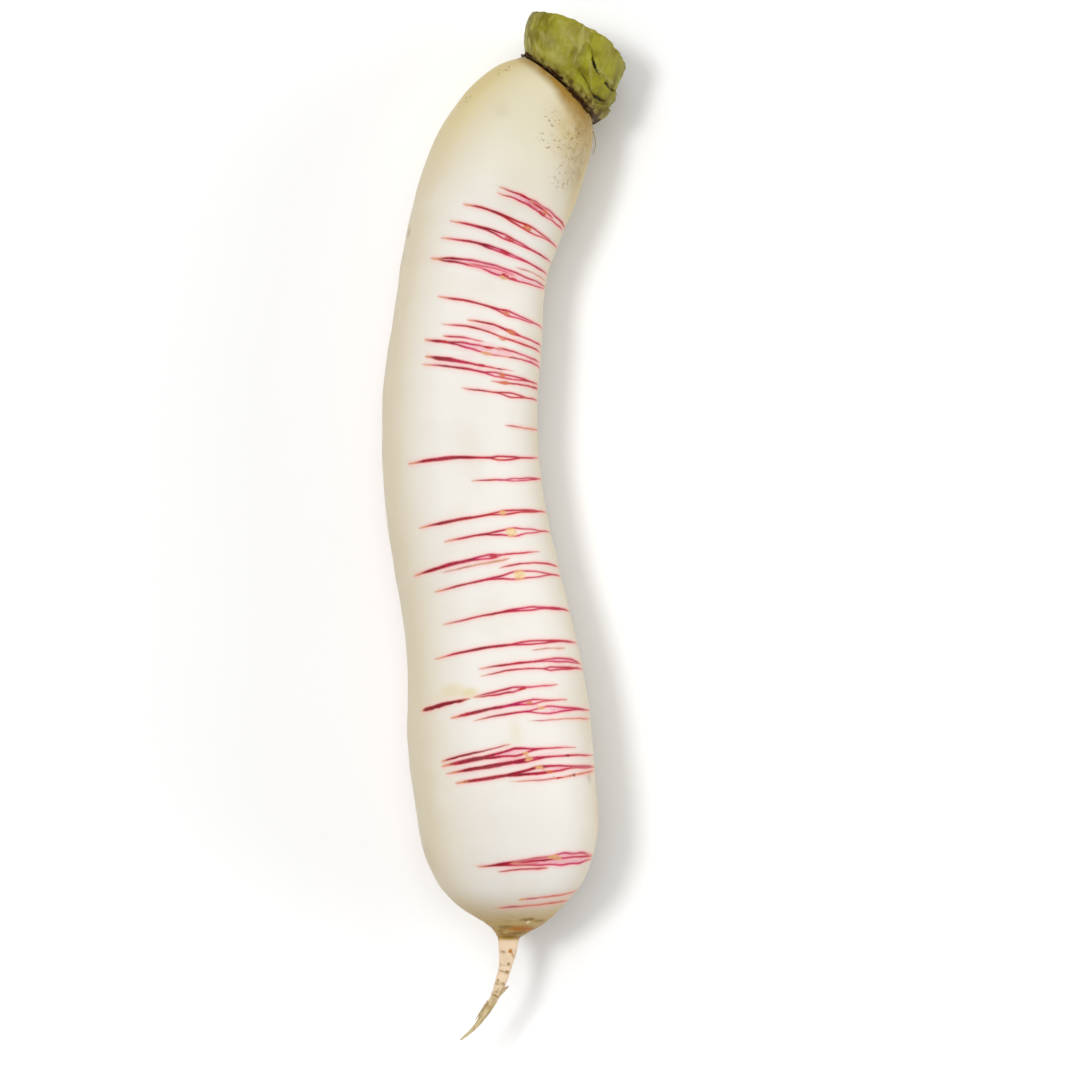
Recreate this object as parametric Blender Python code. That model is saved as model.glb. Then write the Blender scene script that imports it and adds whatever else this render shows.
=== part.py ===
"""A daikon radish with trimmed leaf stalks, lying on its side.

Metres, +Z up. The crown points to +Y, the tail to -Y, and the root rests on z = 0.
Lengths in the tables below are millimetres and angles are degrees.
"""

from math import cos, pi, radians, sin, sqrt

import bmesh
import bpy
import numpy as np
from mathutils import Vector

MM = 0.001
GAP = 0.35  # clearance between pieces that touch

# Root sections from the crown rim to the tip of the tail: centre x, y and z, the yaw of the
# section's axis (0 faces +Y, positive turns towards +X), its pitch and its radius.
ROOT_SECTIONS = (
    (18.5, 152.5, 26.5, 42, -8, 17.0),
    (14.5, 149.0, 26.5, 36, -7, 20.6),
    (9.5, 143.0, 26.5, 28, -5, 23.8),
    (6.0, 137.0, 26.5, 24, -3, 25.5),
    (2.5, 129.0, 26.5, 22, -1, 26.6),
    (-0.8, 120.0, 26.4, 21, 0, 26.9),
    (-5.3, 108.0, 26.0, 18, 0, 26.4),
    (-10.0, 92.0, 25.3, 12, 0, 25.7),
    (-12.8, 70.0, 25.8, 7, 0, 26.2),
    (-15.4, 44.0, 26.5, 2, 0, 26.9),
    (-15.0, 20.0, 26.9, -4, 0, 27.3),
    (-11.7, -4.0, 27.5, -9, 0, 27.9),
    (-7.2, -27.0, 28.4, -11, 0, 28.8),
    (-3.4, -50.0, 30.2, -8, 0, 30.6),
    (-1.1, -73.0, 31.8, -5, 0, 32.2),
    (0.5, -93.0, 31.9, -4, 0, 32.3),
    (1.8, -107.0, 30.9, -3, 0, 31.3),
    (2.2, -118.0, 30.5, -2, 0, 28.4),
    (2.8, -127.0, 30.2, -2, 0, 23.7),
    (3.5, -134.0, 30.0, -2, 0, 16.8),
    (4.6, -138.5, 30.0, -2, 0, 11.0),
    (4.2, -140.6, 30.0, -2, 0, 8.2),
    (3.0, -142.5, 30.0, -2, 0, 5.8),
    (1.9, -144.1, 30.0, 0, 0, 4.0),
    (1.7, -146.7, 30.0, 1, 0, 3.4),
    (1.5, -149.2, 30.0, 3, 0, 3.15),
    (1.0, -152.5, 30.0, 6, 0, 2.5),
    (-0.9, -159.5, 30.0, 15, 0, 2.05),
    (-3.1, -165.0, 30.0, 27, 0, 1.55),
    (-6.7, -171.0, 30.0, 38, 0, 1.2),
    (-10.1, -175.5, 30.0, 42, 0, 0.75),
    (-15.0, -179.8, 30.0, 48, 0, 0.3),
)
ROOT_SIDES = 40
ROOT_STEPS = 3  # rings made for each of the sections above
CROWN_DOME = 2.0  # rise of the crown inside its rim
CROWN_DOME_RINGS = 4

# The bundle of leaf stalks runs from the crown rim to the level of the cut.
BUNDLE_BASE = (18.5, 152.5, 26.5)
BUNDLE_CUT = (26.0, 170.0, 24.0)
BUNDLE_YAW = (42, 30)
BUNDLE_PITCH = -8
BUNDLE_RADIUS = (14.6, 19.2)
BUNDLE_BULGE = 2.0
CUT_PEAK = 3.0  # offset to +X of the highest point of the cut
CUT_LEFT, CUT_RIGHT = 22.0, 16.3
CUT_RISE = 0.16  # of the bundle's length

# Each stalk: first and last angle round the bundle (0 is up, 90 is to +X), outer radius as a share
# of the bundle's, thickness in millimetres and height at its two sides as shares of the cut's.
STALKS = {
    "leaf_stalk_front_left": (-94, 5, 1.0, 4.8, 1.0, 1.0),
    "leaf_stalk_front_right": (7, 94, 1.0, 4.8, 1.0, 1.0),
    "leaf_stalk_back_right": (97, 178, 0.98, 4.6, 0.94, 0.94),
    "leaf_stalk_back_left": (182, 263, 0.98, 4.6, 0.97, 0.97),
    "inner_stalk_front": (-48, 38, 0.63, 4.2, 0.98, 0.98),
    "inner_stalk_right": (43, 132, 0.63, 4.1, 0.95, 0.95),
    "inner_stalk_back": (137, 222, 0.62, 4.0, 0.92, 0.92),
    "inner_stalk_left": (227, 307, 0.63, 4.1, 0.99, 0.99),
    "heart_leaf_front": (-40, 70, 0.31, 2.8, 0.97, 0.97),
    "heart_leaf_right": (82, 188, 0.31, 2.7, 0.90, 0.90),
    "heart_leaf_left": (200, 308, 0.31, 2.7, 0.94, 0.94),
}
# Short bases of older, broken leaves and thin dry scales, both outside the stalks.
OLD_BASES = {
    "old_leaf_base_front_right": (9, 92, 1.11, 1.2, 0.72, 0.47),
    "old_leaf_base_front": (4, 53, 1.21, 1.1, 0.36, 0.16),
    "old_leaf_base_right": (57, 98, 1.21, 1.1, 0.24, 0.16),
    "old_leaf_base_back": (138, 178, 1.11, 1.3, 0.26, 0.20),
    "old_leaf_base_left": (206, 244, 1.11, 1.3, 0.22, 0.16),
}
DRY_SCALES = {
    "dry_scale_left": (-111, -54, 1.07, 0.7, 0.12, 0.13),
    "dry_scale_front_left": (-51, -1, 1.08, 0.6, 0.11, 0.09),
    "dry_scale_front": (6, 50, 1.28, 0.6, 0.10, 0.07),
    "dry_scale_back_right": (103, 134, 1.08, 0.7, 0.14, 0.12),
    "dry_scale_back": (182, 202, 1.08, 0.7, 0.12, 0.10),
}
STALK_RINGS = 5
STALK_COLUMNS = 8

# Rootlets: points of the centre line and the radius at the thick end.
ROOTLETS = {
    "shoulder_rootlet": (((31.8, 137.0, 26.0), (32.4, 133.6, 26.6), (31.3, 129.8, 26.0)), 0.25),
    "tail_rootlet_right": (((0.95, -161.2, 30.0), (1.8, -161.4, 30.3), (2.5, -161.0, 30.5)), 0.40),
    "tail_rootlet_left": (((-8.5, -169.2, 30.0), (-9.2, -171.4, 30.0), (-10.3, -173.2, 30.2)), 0.35),
}
ROOTLET_SIDES = 4  # bevel resolution of the rootlet curves
ROOTLET_TIP = 0.4  # radius at the thin end, as a share of the thick end's

SKIN = (0.86, 0.82, 0.72, 1.0)
STALK_GREEN = (0.30, 0.32, 0.04, 1.0)
HEART_GREEN = (0.45, 0.48, 0.10, 1.0)
OLD_GREEN = (0.32, 0.27, 0.05, 1.0)
DRY_BROWN = (0.11, 0.045, 0.015, 1.0)
ROOTLET_TAN = (0.35, 0.24, 0.12, 1.0)


def clear_scene():
    for item in list(bpy.data.objects):
        bpy.data.objects.remove(item, do_unlink=True)


def material(name, colour, roughness):
    made = bpy.data.materials.new(name)
    made.use_nodes = True
    shader = made.node_tree.nodes["Principled BSDF"]
    shader.inputs["Base Color"].default_value = colour
    shader.inputs["Roughness"].default_value = roughness
    shader.inputs["Metallic"].default_value = 0.0
    return made


def axes(yaw, pitch):
    """The axis, right and up directions of a section."""
    yaw, pitch = radians(yaw), radians(pitch)
    along = np.array((sin(yaw) * cos(pitch), cos(yaw) * cos(pitch), sin(pitch)))
    right = np.array((cos(yaw), -sin(yaw), 0.0))
    return along, right, np.cross(right, along)


def smooth_rows(rows, steps):
    """Rows read from a smooth curve through the given rows, with the steps between each two."""
    rows = np.array(rows, float)
    at = np.concatenate(([0.0], np.cumsum(np.linalg.norm(np.diff(rows[:, :3], axis=0), axis=1))))
    slopes = np.gradient(rows, at, axis=0)
    out = []
    for i in range(len(rows) - 1):
        span = at[i + 1] - at[i]
        for k in range(steps):
            t = k / steps
            out.append(
                (2 * t**3 - 3 * t**2 + 1) * rows[i]
                + (t**3 - 2 * t**2 + t) * span * slopes[i]
                + (3 * t**2 - 2 * t**3) * rows[i + 1]
                + (t**3 - t**2) * span * slopes[i + 1]
            )
    out.append(rows[-1])
    return out


def ring(centre, yaw, pitch, radius, sides):
    """A round section, with one of its flat sides at the bottom."""
    _, right, up = axes(yaw, pitch)
    turns = (np.arange(sides) + 0.5) * 2 * pi / sides
    return [np.array(centre) + radius * (sin(a) * right + cos(a) * up) for a in turns]


def add_faces(bm, rings):
    """The side faces between rings that run clockwise seen from the first ring's end."""
    loops = [[bm.verts.new(Vector(p) * MM) for p in points] for points in rings]
    for near, far in zip(loops, loops[1:]):
        for i in range(len(near)):
            j = (i + 1) % len(near)
            bm.faces.new((near[i], near[j], far[j], far[i]))
    return loops


def close_with_fan(bm, loop):
    centre = sum((v.co for v in loop), Vector()) / len(loop)
    hub = bm.verts.new(centre)
    for i in range(len(loop)):
        bm.faces.new((loop[i], hub, loop[(i + 1) % len(loop)]))


def close_with_strip(bm, loop):
    """Closes a loop whose second half runs back along its first half."""
    last = len(loop) - 1
    for i in range(len(loop) // 2 - 1):
        bm.faces.new((loop[i], loop[last - i], loop[last - i - 1], loop[i + 1]))


def finish_mesh(name, bm, look, home):
    bmesh.ops.recalc_face_normals(bm, faces=bm.faces)
    mesh = bpy.data.meshes.new(name)
    bm.to_mesh(mesh)
    bm.free()
    mesh.shade_smooth()
    mesh.set_sharp_from_angle(angle=radians(40))
    mesh.materials.append(look)
    return place(name, mesh, home)


def place(name, data, home):
    """A named object in the radish's collection, parented to the empty it stands on."""
    made = bpy.data.objects.new(name, data)
    home.users_collection[0].objects.link(made)
    made.parent = home
    return made


def root(look, home):
    """One solid from the crown to the tip of the tail, pressed flat where it rests."""
    first = ROOT_SECTIONS[0]
    along, _, _ = axes(first[3], first[4])
    rings = []
    for k in range(CROWN_DOME_RINGS, 0, -1):
        angle = k / (CROWN_DOME_RINGS + 0.5) * pi / 2
        centre = np.array(first[:3]) + along * CROWN_DOME * sin(angle)
        rings.append(ring(centre, first[3], first[4], first[5] * cos(angle), ROOT_SIDES))
    for x, y, z, yaw, pitch, radius in smooth_rows(ROOT_SECTIONS, ROOT_STEPS):
        rings.append(ring((x, y, z), yaw, pitch, radius, ROOT_SIDES))
    for points in rings:
        for point in points:
            point[2] = max(point[2], 0.0)
    bm = bmesh.new()
    loops = add_faces(bm, rings)
    close_with_fan(bm, loops[0])
    close_with_fan(bm, loops[-1])
    return finish_mesh("root", bm, look, home)


def mix(pair, t):
    return pair[0] + (pair[1] - pair[0]) * t


def crown_height(radius):
    """The crown's rise above its rim at a distance from its axis, with the pieces' clearance."""
    rim = ROOT_SECTIONS[0][5]
    if radius >= rim:
        return GAP - 0.8 * (radius - rim)
    return GAP + CROWN_DOME * sqrt(1.0 - (radius / rim) ** 2)


def cut_level(sideways):
    """The height of the knife cut at a distance to the right, as a share of the bundle's length."""
    offset = sideways - CUT_PEAK
    reach = offset / CUT_RIGHT if offset > 0 else -offset / CUT_LEFT
    return 1.0 + CUT_RISE * (1.0 - min(1.0, reach) ** 2.5)


def bundle_point(angle, radius, level):
    """A point of the bundle: angle round it, distance from its axis and level."""
    base, cut = np.array(BUNDLE_BASE), np.array(BUNDLE_CUT)
    _, right, up = axes(mix(BUNDLE_YAW, level), BUNDLE_PITCH)
    return base + (cut - base) * level + radius * (sin(angle) * right + cos(angle) * up)


def stalk(name, look, home, start, end, share, thickness, top_start, top_end):
    """A crescent of stalk that stands on the crown and ends at the cut or below it."""
    length = np.linalg.norm(np.array(BUNDLE_CUT) - np.array(BUNDLE_BASE))
    outer, inner = [], []
    for across in np.linspace(0.0, 1.0, STALK_COLUMNS):
        bow = sqrt(1.0 - (2 * across - 1) ** 2)
        edge = 0.14 * thickness * (1.0 - bow)
        outer.append((across, edge))
        inner.append((across, edge + thickness * (0.25 + 0.75 * bow)))
    outline = outer + inner[::-1]
    rings = []
    for k in range(STALK_RINGS):
        points = []
        for across, inward in outline:
            angle = radians(mix((start, end), across))
            low = crown_height(share * BUNDLE_RADIUS[0] - inward) / length
            high = cut_level(sin(angle) * (share * BUNDLE_RADIUS[1] - inward))
            level = mix((low, high * mix((top_start, top_end), across)), k / (STALK_RINGS - 1))
            swell = BUNDLE_BULGE * 4 * level * (1 - level)
            radius = share * (mix(BUNDLE_RADIUS, level) + swell) - inward
            points.append(bundle_point(angle, radius, level))
        rings.append(points)
    bm = bmesh.new()
    loops = add_faces(bm, rings)
    close_with_strip(bm, loops[0])
    close_with_strip(bm, loops[-1])
    return finish_mesh(name, bm, look, home)


def rootlet(name, look, home, points, radius):
    """A tapered hair of root, round in section."""
    curve = bpy.data.curves.new(name, "CURVE")
    curve.dimensions = "3D"
    curve.bevel_depth = radius * MM
    curve.bevel_resolution = ROOTLET_SIDES
    curve.use_fill_caps = True
    spline = curve.splines.new("POLY")
    route = smooth_rows(points, 3)
    spline.points.add(len(route) - 1)
    for i, point in enumerate(route):
        spline.points[i].co = (*(Vector(point) * MM), 1.0)
        spline.points[i].radius = 1.0 + (ROOTLET_TIP - 1.0) * i / (len(route) - 1)
    curve.materials.append(look)
    return place(name, curve, home)


def main():
    clear_scene()
    collection = bpy.data.collections.new("daikon_radish")
    bpy.context.scene.collection.children.link(collection)
    home = bpy.data.objects.new("daikon_radish_origin", None)
    collection.objects.link(home)

    root(material("skin", SKIN, 0.45), home)
    green = material("stalk_green", STALK_GREEN, 0.5)
    heart = material("heart_green", HEART_GREEN, 0.5)
    for name, sizes in STALKS.items():
        stalk(name, heart if name.startswith("heart") else green, home, *sizes)
    old = material("old_green", OLD_GREEN, 0.6)
    for name, sizes in OLD_BASES.items():
        stalk(name, old, home, *sizes)
    dry = material("dry_brown", DRY_BROWN, 0.8)
    for name, sizes in DRY_SCALES.items():
        stalk(name, dry, home, *sizes)
    tan = material("rootlet_tan", ROOTLET_TAN, 0.7)
    for name, (points, radius) in ROOTLETS.items():
        rootlet(name, tan, home, points, radius)


main()
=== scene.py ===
from math import cos, pi, radians, sin, sqrt, tan

import bpy
import numpy as np
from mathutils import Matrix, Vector


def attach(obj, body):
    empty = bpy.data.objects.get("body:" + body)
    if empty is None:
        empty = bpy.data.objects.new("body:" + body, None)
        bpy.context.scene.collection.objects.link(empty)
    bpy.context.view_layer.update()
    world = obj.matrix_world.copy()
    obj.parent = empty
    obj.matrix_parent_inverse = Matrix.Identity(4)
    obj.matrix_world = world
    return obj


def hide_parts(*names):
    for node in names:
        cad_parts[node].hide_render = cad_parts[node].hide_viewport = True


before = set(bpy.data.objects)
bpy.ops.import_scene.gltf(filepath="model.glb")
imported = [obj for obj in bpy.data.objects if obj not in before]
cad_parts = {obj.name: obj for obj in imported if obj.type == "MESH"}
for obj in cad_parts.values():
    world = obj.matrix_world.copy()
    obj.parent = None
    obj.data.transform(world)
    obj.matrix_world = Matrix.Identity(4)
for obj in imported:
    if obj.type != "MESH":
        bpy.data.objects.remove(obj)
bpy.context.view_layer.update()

MM = 0.001

# ---- The root: x, y, z of a section's centre, its yaw and pitch in degrees and its radius, in mm ----
ROOT_SECTIONS = (
    (18.5, 152.5, 26.5, 42, -8, 17.0),
    (14.5, 149.0, 26.5, 36, -7, 20.6),
    (9.5, 143.0, 26.5, 28, -5, 23.8),
    (6.0, 137.0, 26.5, 24, -3, 25.5),
    (2.5, 129.0, 26.5, 22, -1, 26.6),
    (-0.8, 120.0, 26.4, 21, 0, 26.9),
    (-5.3, 108.0, 26.0, 18, 0, 26.4),
    (-10.0, 92.0, 25.3, 12, 0, 25.7),
    (-12.8, 70.0, 25.8, 7, 0, 26.2),
    (-15.4, 44.0, 26.5, 2, 0, 26.9),
    (-15.0, 20.0, 26.9, -4, 0, 27.3),
    (-11.7, -4.0, 27.5, -9, 0, 27.9),
    (-7.2, -27.0, 28.4, -11, 0, 28.8),
    (-3.4, -50.0, 30.2, -8, 0, 30.6),
    (-1.1, -73.0, 31.8, -5, 0, 32.2),
    (0.5, -93.0, 31.9, -4, 0, 32.3),
    (1.8, -107.0, 30.9, -3, 0, 31.3),
    (2.2, -118.0, 30.5, -2, 0, 28.4),
    (2.8, -127.0, 30.2, -2, 0, 23.7),
    (3.5, -134.0, 30.0, -2, 0, 16.8),
    (4.6, -138.5, 30.0, -2, 0, 11.0),
    (4.2, -140.6, 30.0, -2, 0, 8.2),
    (3.0, -142.5, 30.0, -2, 0, 5.8),
    (1.9, -144.1, 30.0, 0, 0, 4.0),
    (1.7, -146.7, 30.0, 1, 0, 3.4),
    (1.5, -149.2, 30.0, 3, 0, 3.15),
    (1.0, -152.5, 30.0, 6, 0, 2.5),
    (-0.9, -159.5, 30.0, 15, 0, 2.05),
    (-3.1, -165.0, 30.0, 27, 0, 1.55),
    (-6.7, -171.0, 30.0, 38, 0, 1.2),
    (-10.1, -175.5, 30.0, 42, 0, 0.75),
    (-15.0, -179.8, 30.0, 48, 0, 0.3),
)
CROWN_DOME = 2.0  # mm that the crown's top stands above its rim
ROOT_SIDES = 112
# Rings of the root: degrees up the crown's dome, then from and to in mm and the step between.
DOME_RINGS = (88, 80, 70, 60, 50, 42, 34, 26, 18, 12, 6)
ROOT_RINGS = (
    (0, 36, 0.6), (36, 122, 0.34), (122, 135, 0.6), (135, 256, 0.36), (256, 274, 0.7), (274, 308, 0.36),
)
TAIL_STEP = 0.7
MAP_MARGIN = 0.006  # of the root's map, free along its edges
HUB_ROOM = 3.0  # mm of the map's length for each end's fan of triangles

# ---- The bundle of leaf stalks that the knife left on the crown ----
# Centres, yaws and radii at the foot (level 0) and at the cut (level 1), in mm and degrees.
BUNDLE_BASE = (18.5, 152.5, 26.5)
BUNDLE_CUT = (26.0, 170.0, 24.0)
BUNDLE_YAW = (42, 30)
BUNDLE_PITCH = -8
BUNDLE_RADIUS = (14.6, 19.2)
BUNDLE_BULGE = 2.0
CUT_PEAK = 3.0  # mm right of the axis to the cut's highest point
CUT_LEFT, CUT_RIGHT = 22.0, 16.3  # mm from there to where it is back at level 1
CUT_RISE = 0.16
GAP = 0.35  # mm between the stalks and the crown
CROWN_SLOPE = 0.8  # how fast the crown falls away outside its rim
FLAT_RADIUS = 17.0  # mm, turns angles round the bundle into widths
# First and last angle, outer radius as a share of the bundle's, thickness in mm, height at both sides.
STALKS = {
    "leaf_stalk_front_left": (-94, 5, 1.0, 4.8, 1.0, 1.0),
    "leaf_stalk_front_right": (7, 94.7, 1.0, 4.8, 1.0, 1.0),
    "leaf_stalk_back_right": (96.3, 179, 0.98, 4.6, 0.94, 0.94),
    "leaf_stalk_back_left": (181, 264, 0.98, 4.6, 0.97, 0.97),
    "inner_stalk_front": (-48, 38, 0.63, 4.2, 0.98, 0.98),
    "inner_stalk_right": (43, 132, 0.63, 4.1, 0.95, 0.95),
    "inner_stalk_back": (137, 222, 0.62, 4.0, 0.92, 0.92),
    "inner_stalk_left": (227, 307, 0.63, 4.1, 0.99, 0.99),
}
HEART_LEAVES = {
    "heart_leaf_front": (-40, 70, 0.31, 2.8, 0.97, 0.97),
    "heart_leaf_right": (82, 188, 0.31, 2.7, 0.9, 0.9),
    "heart_leaf_left": (200, 308, 0.31, 2.7, 0.94, 0.94),
}
OLD_BASES = {
    "old_leaf_base_front_right": (9, 92, 1.11, 1.2, 0.72, 0.47),
    "old_leaf_base_front": (4, 53, 1.21, 1.1, 0.36, 0.16),
    "old_leaf_base_right": (57, 98, 1.21, 1.1, 0.24, 0.16),
    "old_leaf_base_back": (138, 178, 1.11, 1.3, 0.26, 0.2),
    "old_leaf_base_left": (206, 244, 1.11, 1.3, 0.22, 0.16),
}
DRY_SCALES = {
    "dry_scale_left": (-111, -54, 1.07, 0.7, 0.12, 0.13),
    "dry_scale_front_left": (-51, -1, 1.08, 0.6, 0.11, 0.09),
    "dry_scale_front": (6, 50, 1.28, 0.6, 0.1, 0.07),
    "dry_scale_back_right": (103, 134, 1.08, 0.7, 0.14, 0.12),
    "dry_scale_back": (182, 202, 1.08, 0.7, 0.12, 0.1),
}
# Fine side roots: strands of points in mm, each with its radius.
ROOTLETS = {
    "shoulder_rootlet": (
        ((31.4, 138.2, 25.6, 0.16), (32.0, 136.0, 26.2, 0.22), (32.3, 133.4, 26.6, 0.18),
         (31.4, 129.8, 26.0, 0.1)),
    ),
    "tail_rootlet_right": (
        ((-1.7, -163.6, 30.4, 1.05), (-0.4, -162.6, 30.9, 0.75), (0.8, -161.7, 31.2, 0.48),
         (1.8, -161.0, 31.4, 0.22)),
    ),
    "tail_rootlet_left": (
        ((-5.2, -166.2, 30.4, 0.5), (-6.7, -168.2, 30.5, 0.42), (-8.3, -170.6, 30.5, 0.28),
         (-9.8, -172.8, 30.4, 0.1)),
        ((-7.2, -169.8, 30.8, 0.3), (-8.3, -171.4, 31.0, 0.22), (-9.2, -173.2, 31.0, 0.1)),
    ),
}


def srgb(r, g, b):
    """A colour given as 0 to 255 on a screen, as Blender's linear values."""
    out = []
    for c in (r, g, b):
        c /= 255
        out.append(c / 12.92 if c <= 0.04045 else ((c + 0.055) / 1.055) ** 2.4)
    return tuple(out)


# Lips of the splits.
CRIMSON = srgb(178, 8, 46)
MAGENTA = srgb(192, 22, 100)
RED = srgb(176, 20, 34)
DARK = srgb(120, 2, 8)
ROSE = srgb(208, 92, 116)
RUST = srgb(204, 116, 84)
TAN_LINE = srgb(192, 148, 112)
TIP = srgb(206, 136, 92)
# Scars in the splits.
YELLOW = srgb(226, 196, 142)
AMBER = srgb(214, 166, 108)
TAN = srgb(210, 162, 112)
ORANGE = srgb(200, 106, 62)
KNOT = srgb(172, 10, 42)
BROWN = srgb(128, 68, 40)
KNOB = srgb(224, 206, 168)

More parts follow.
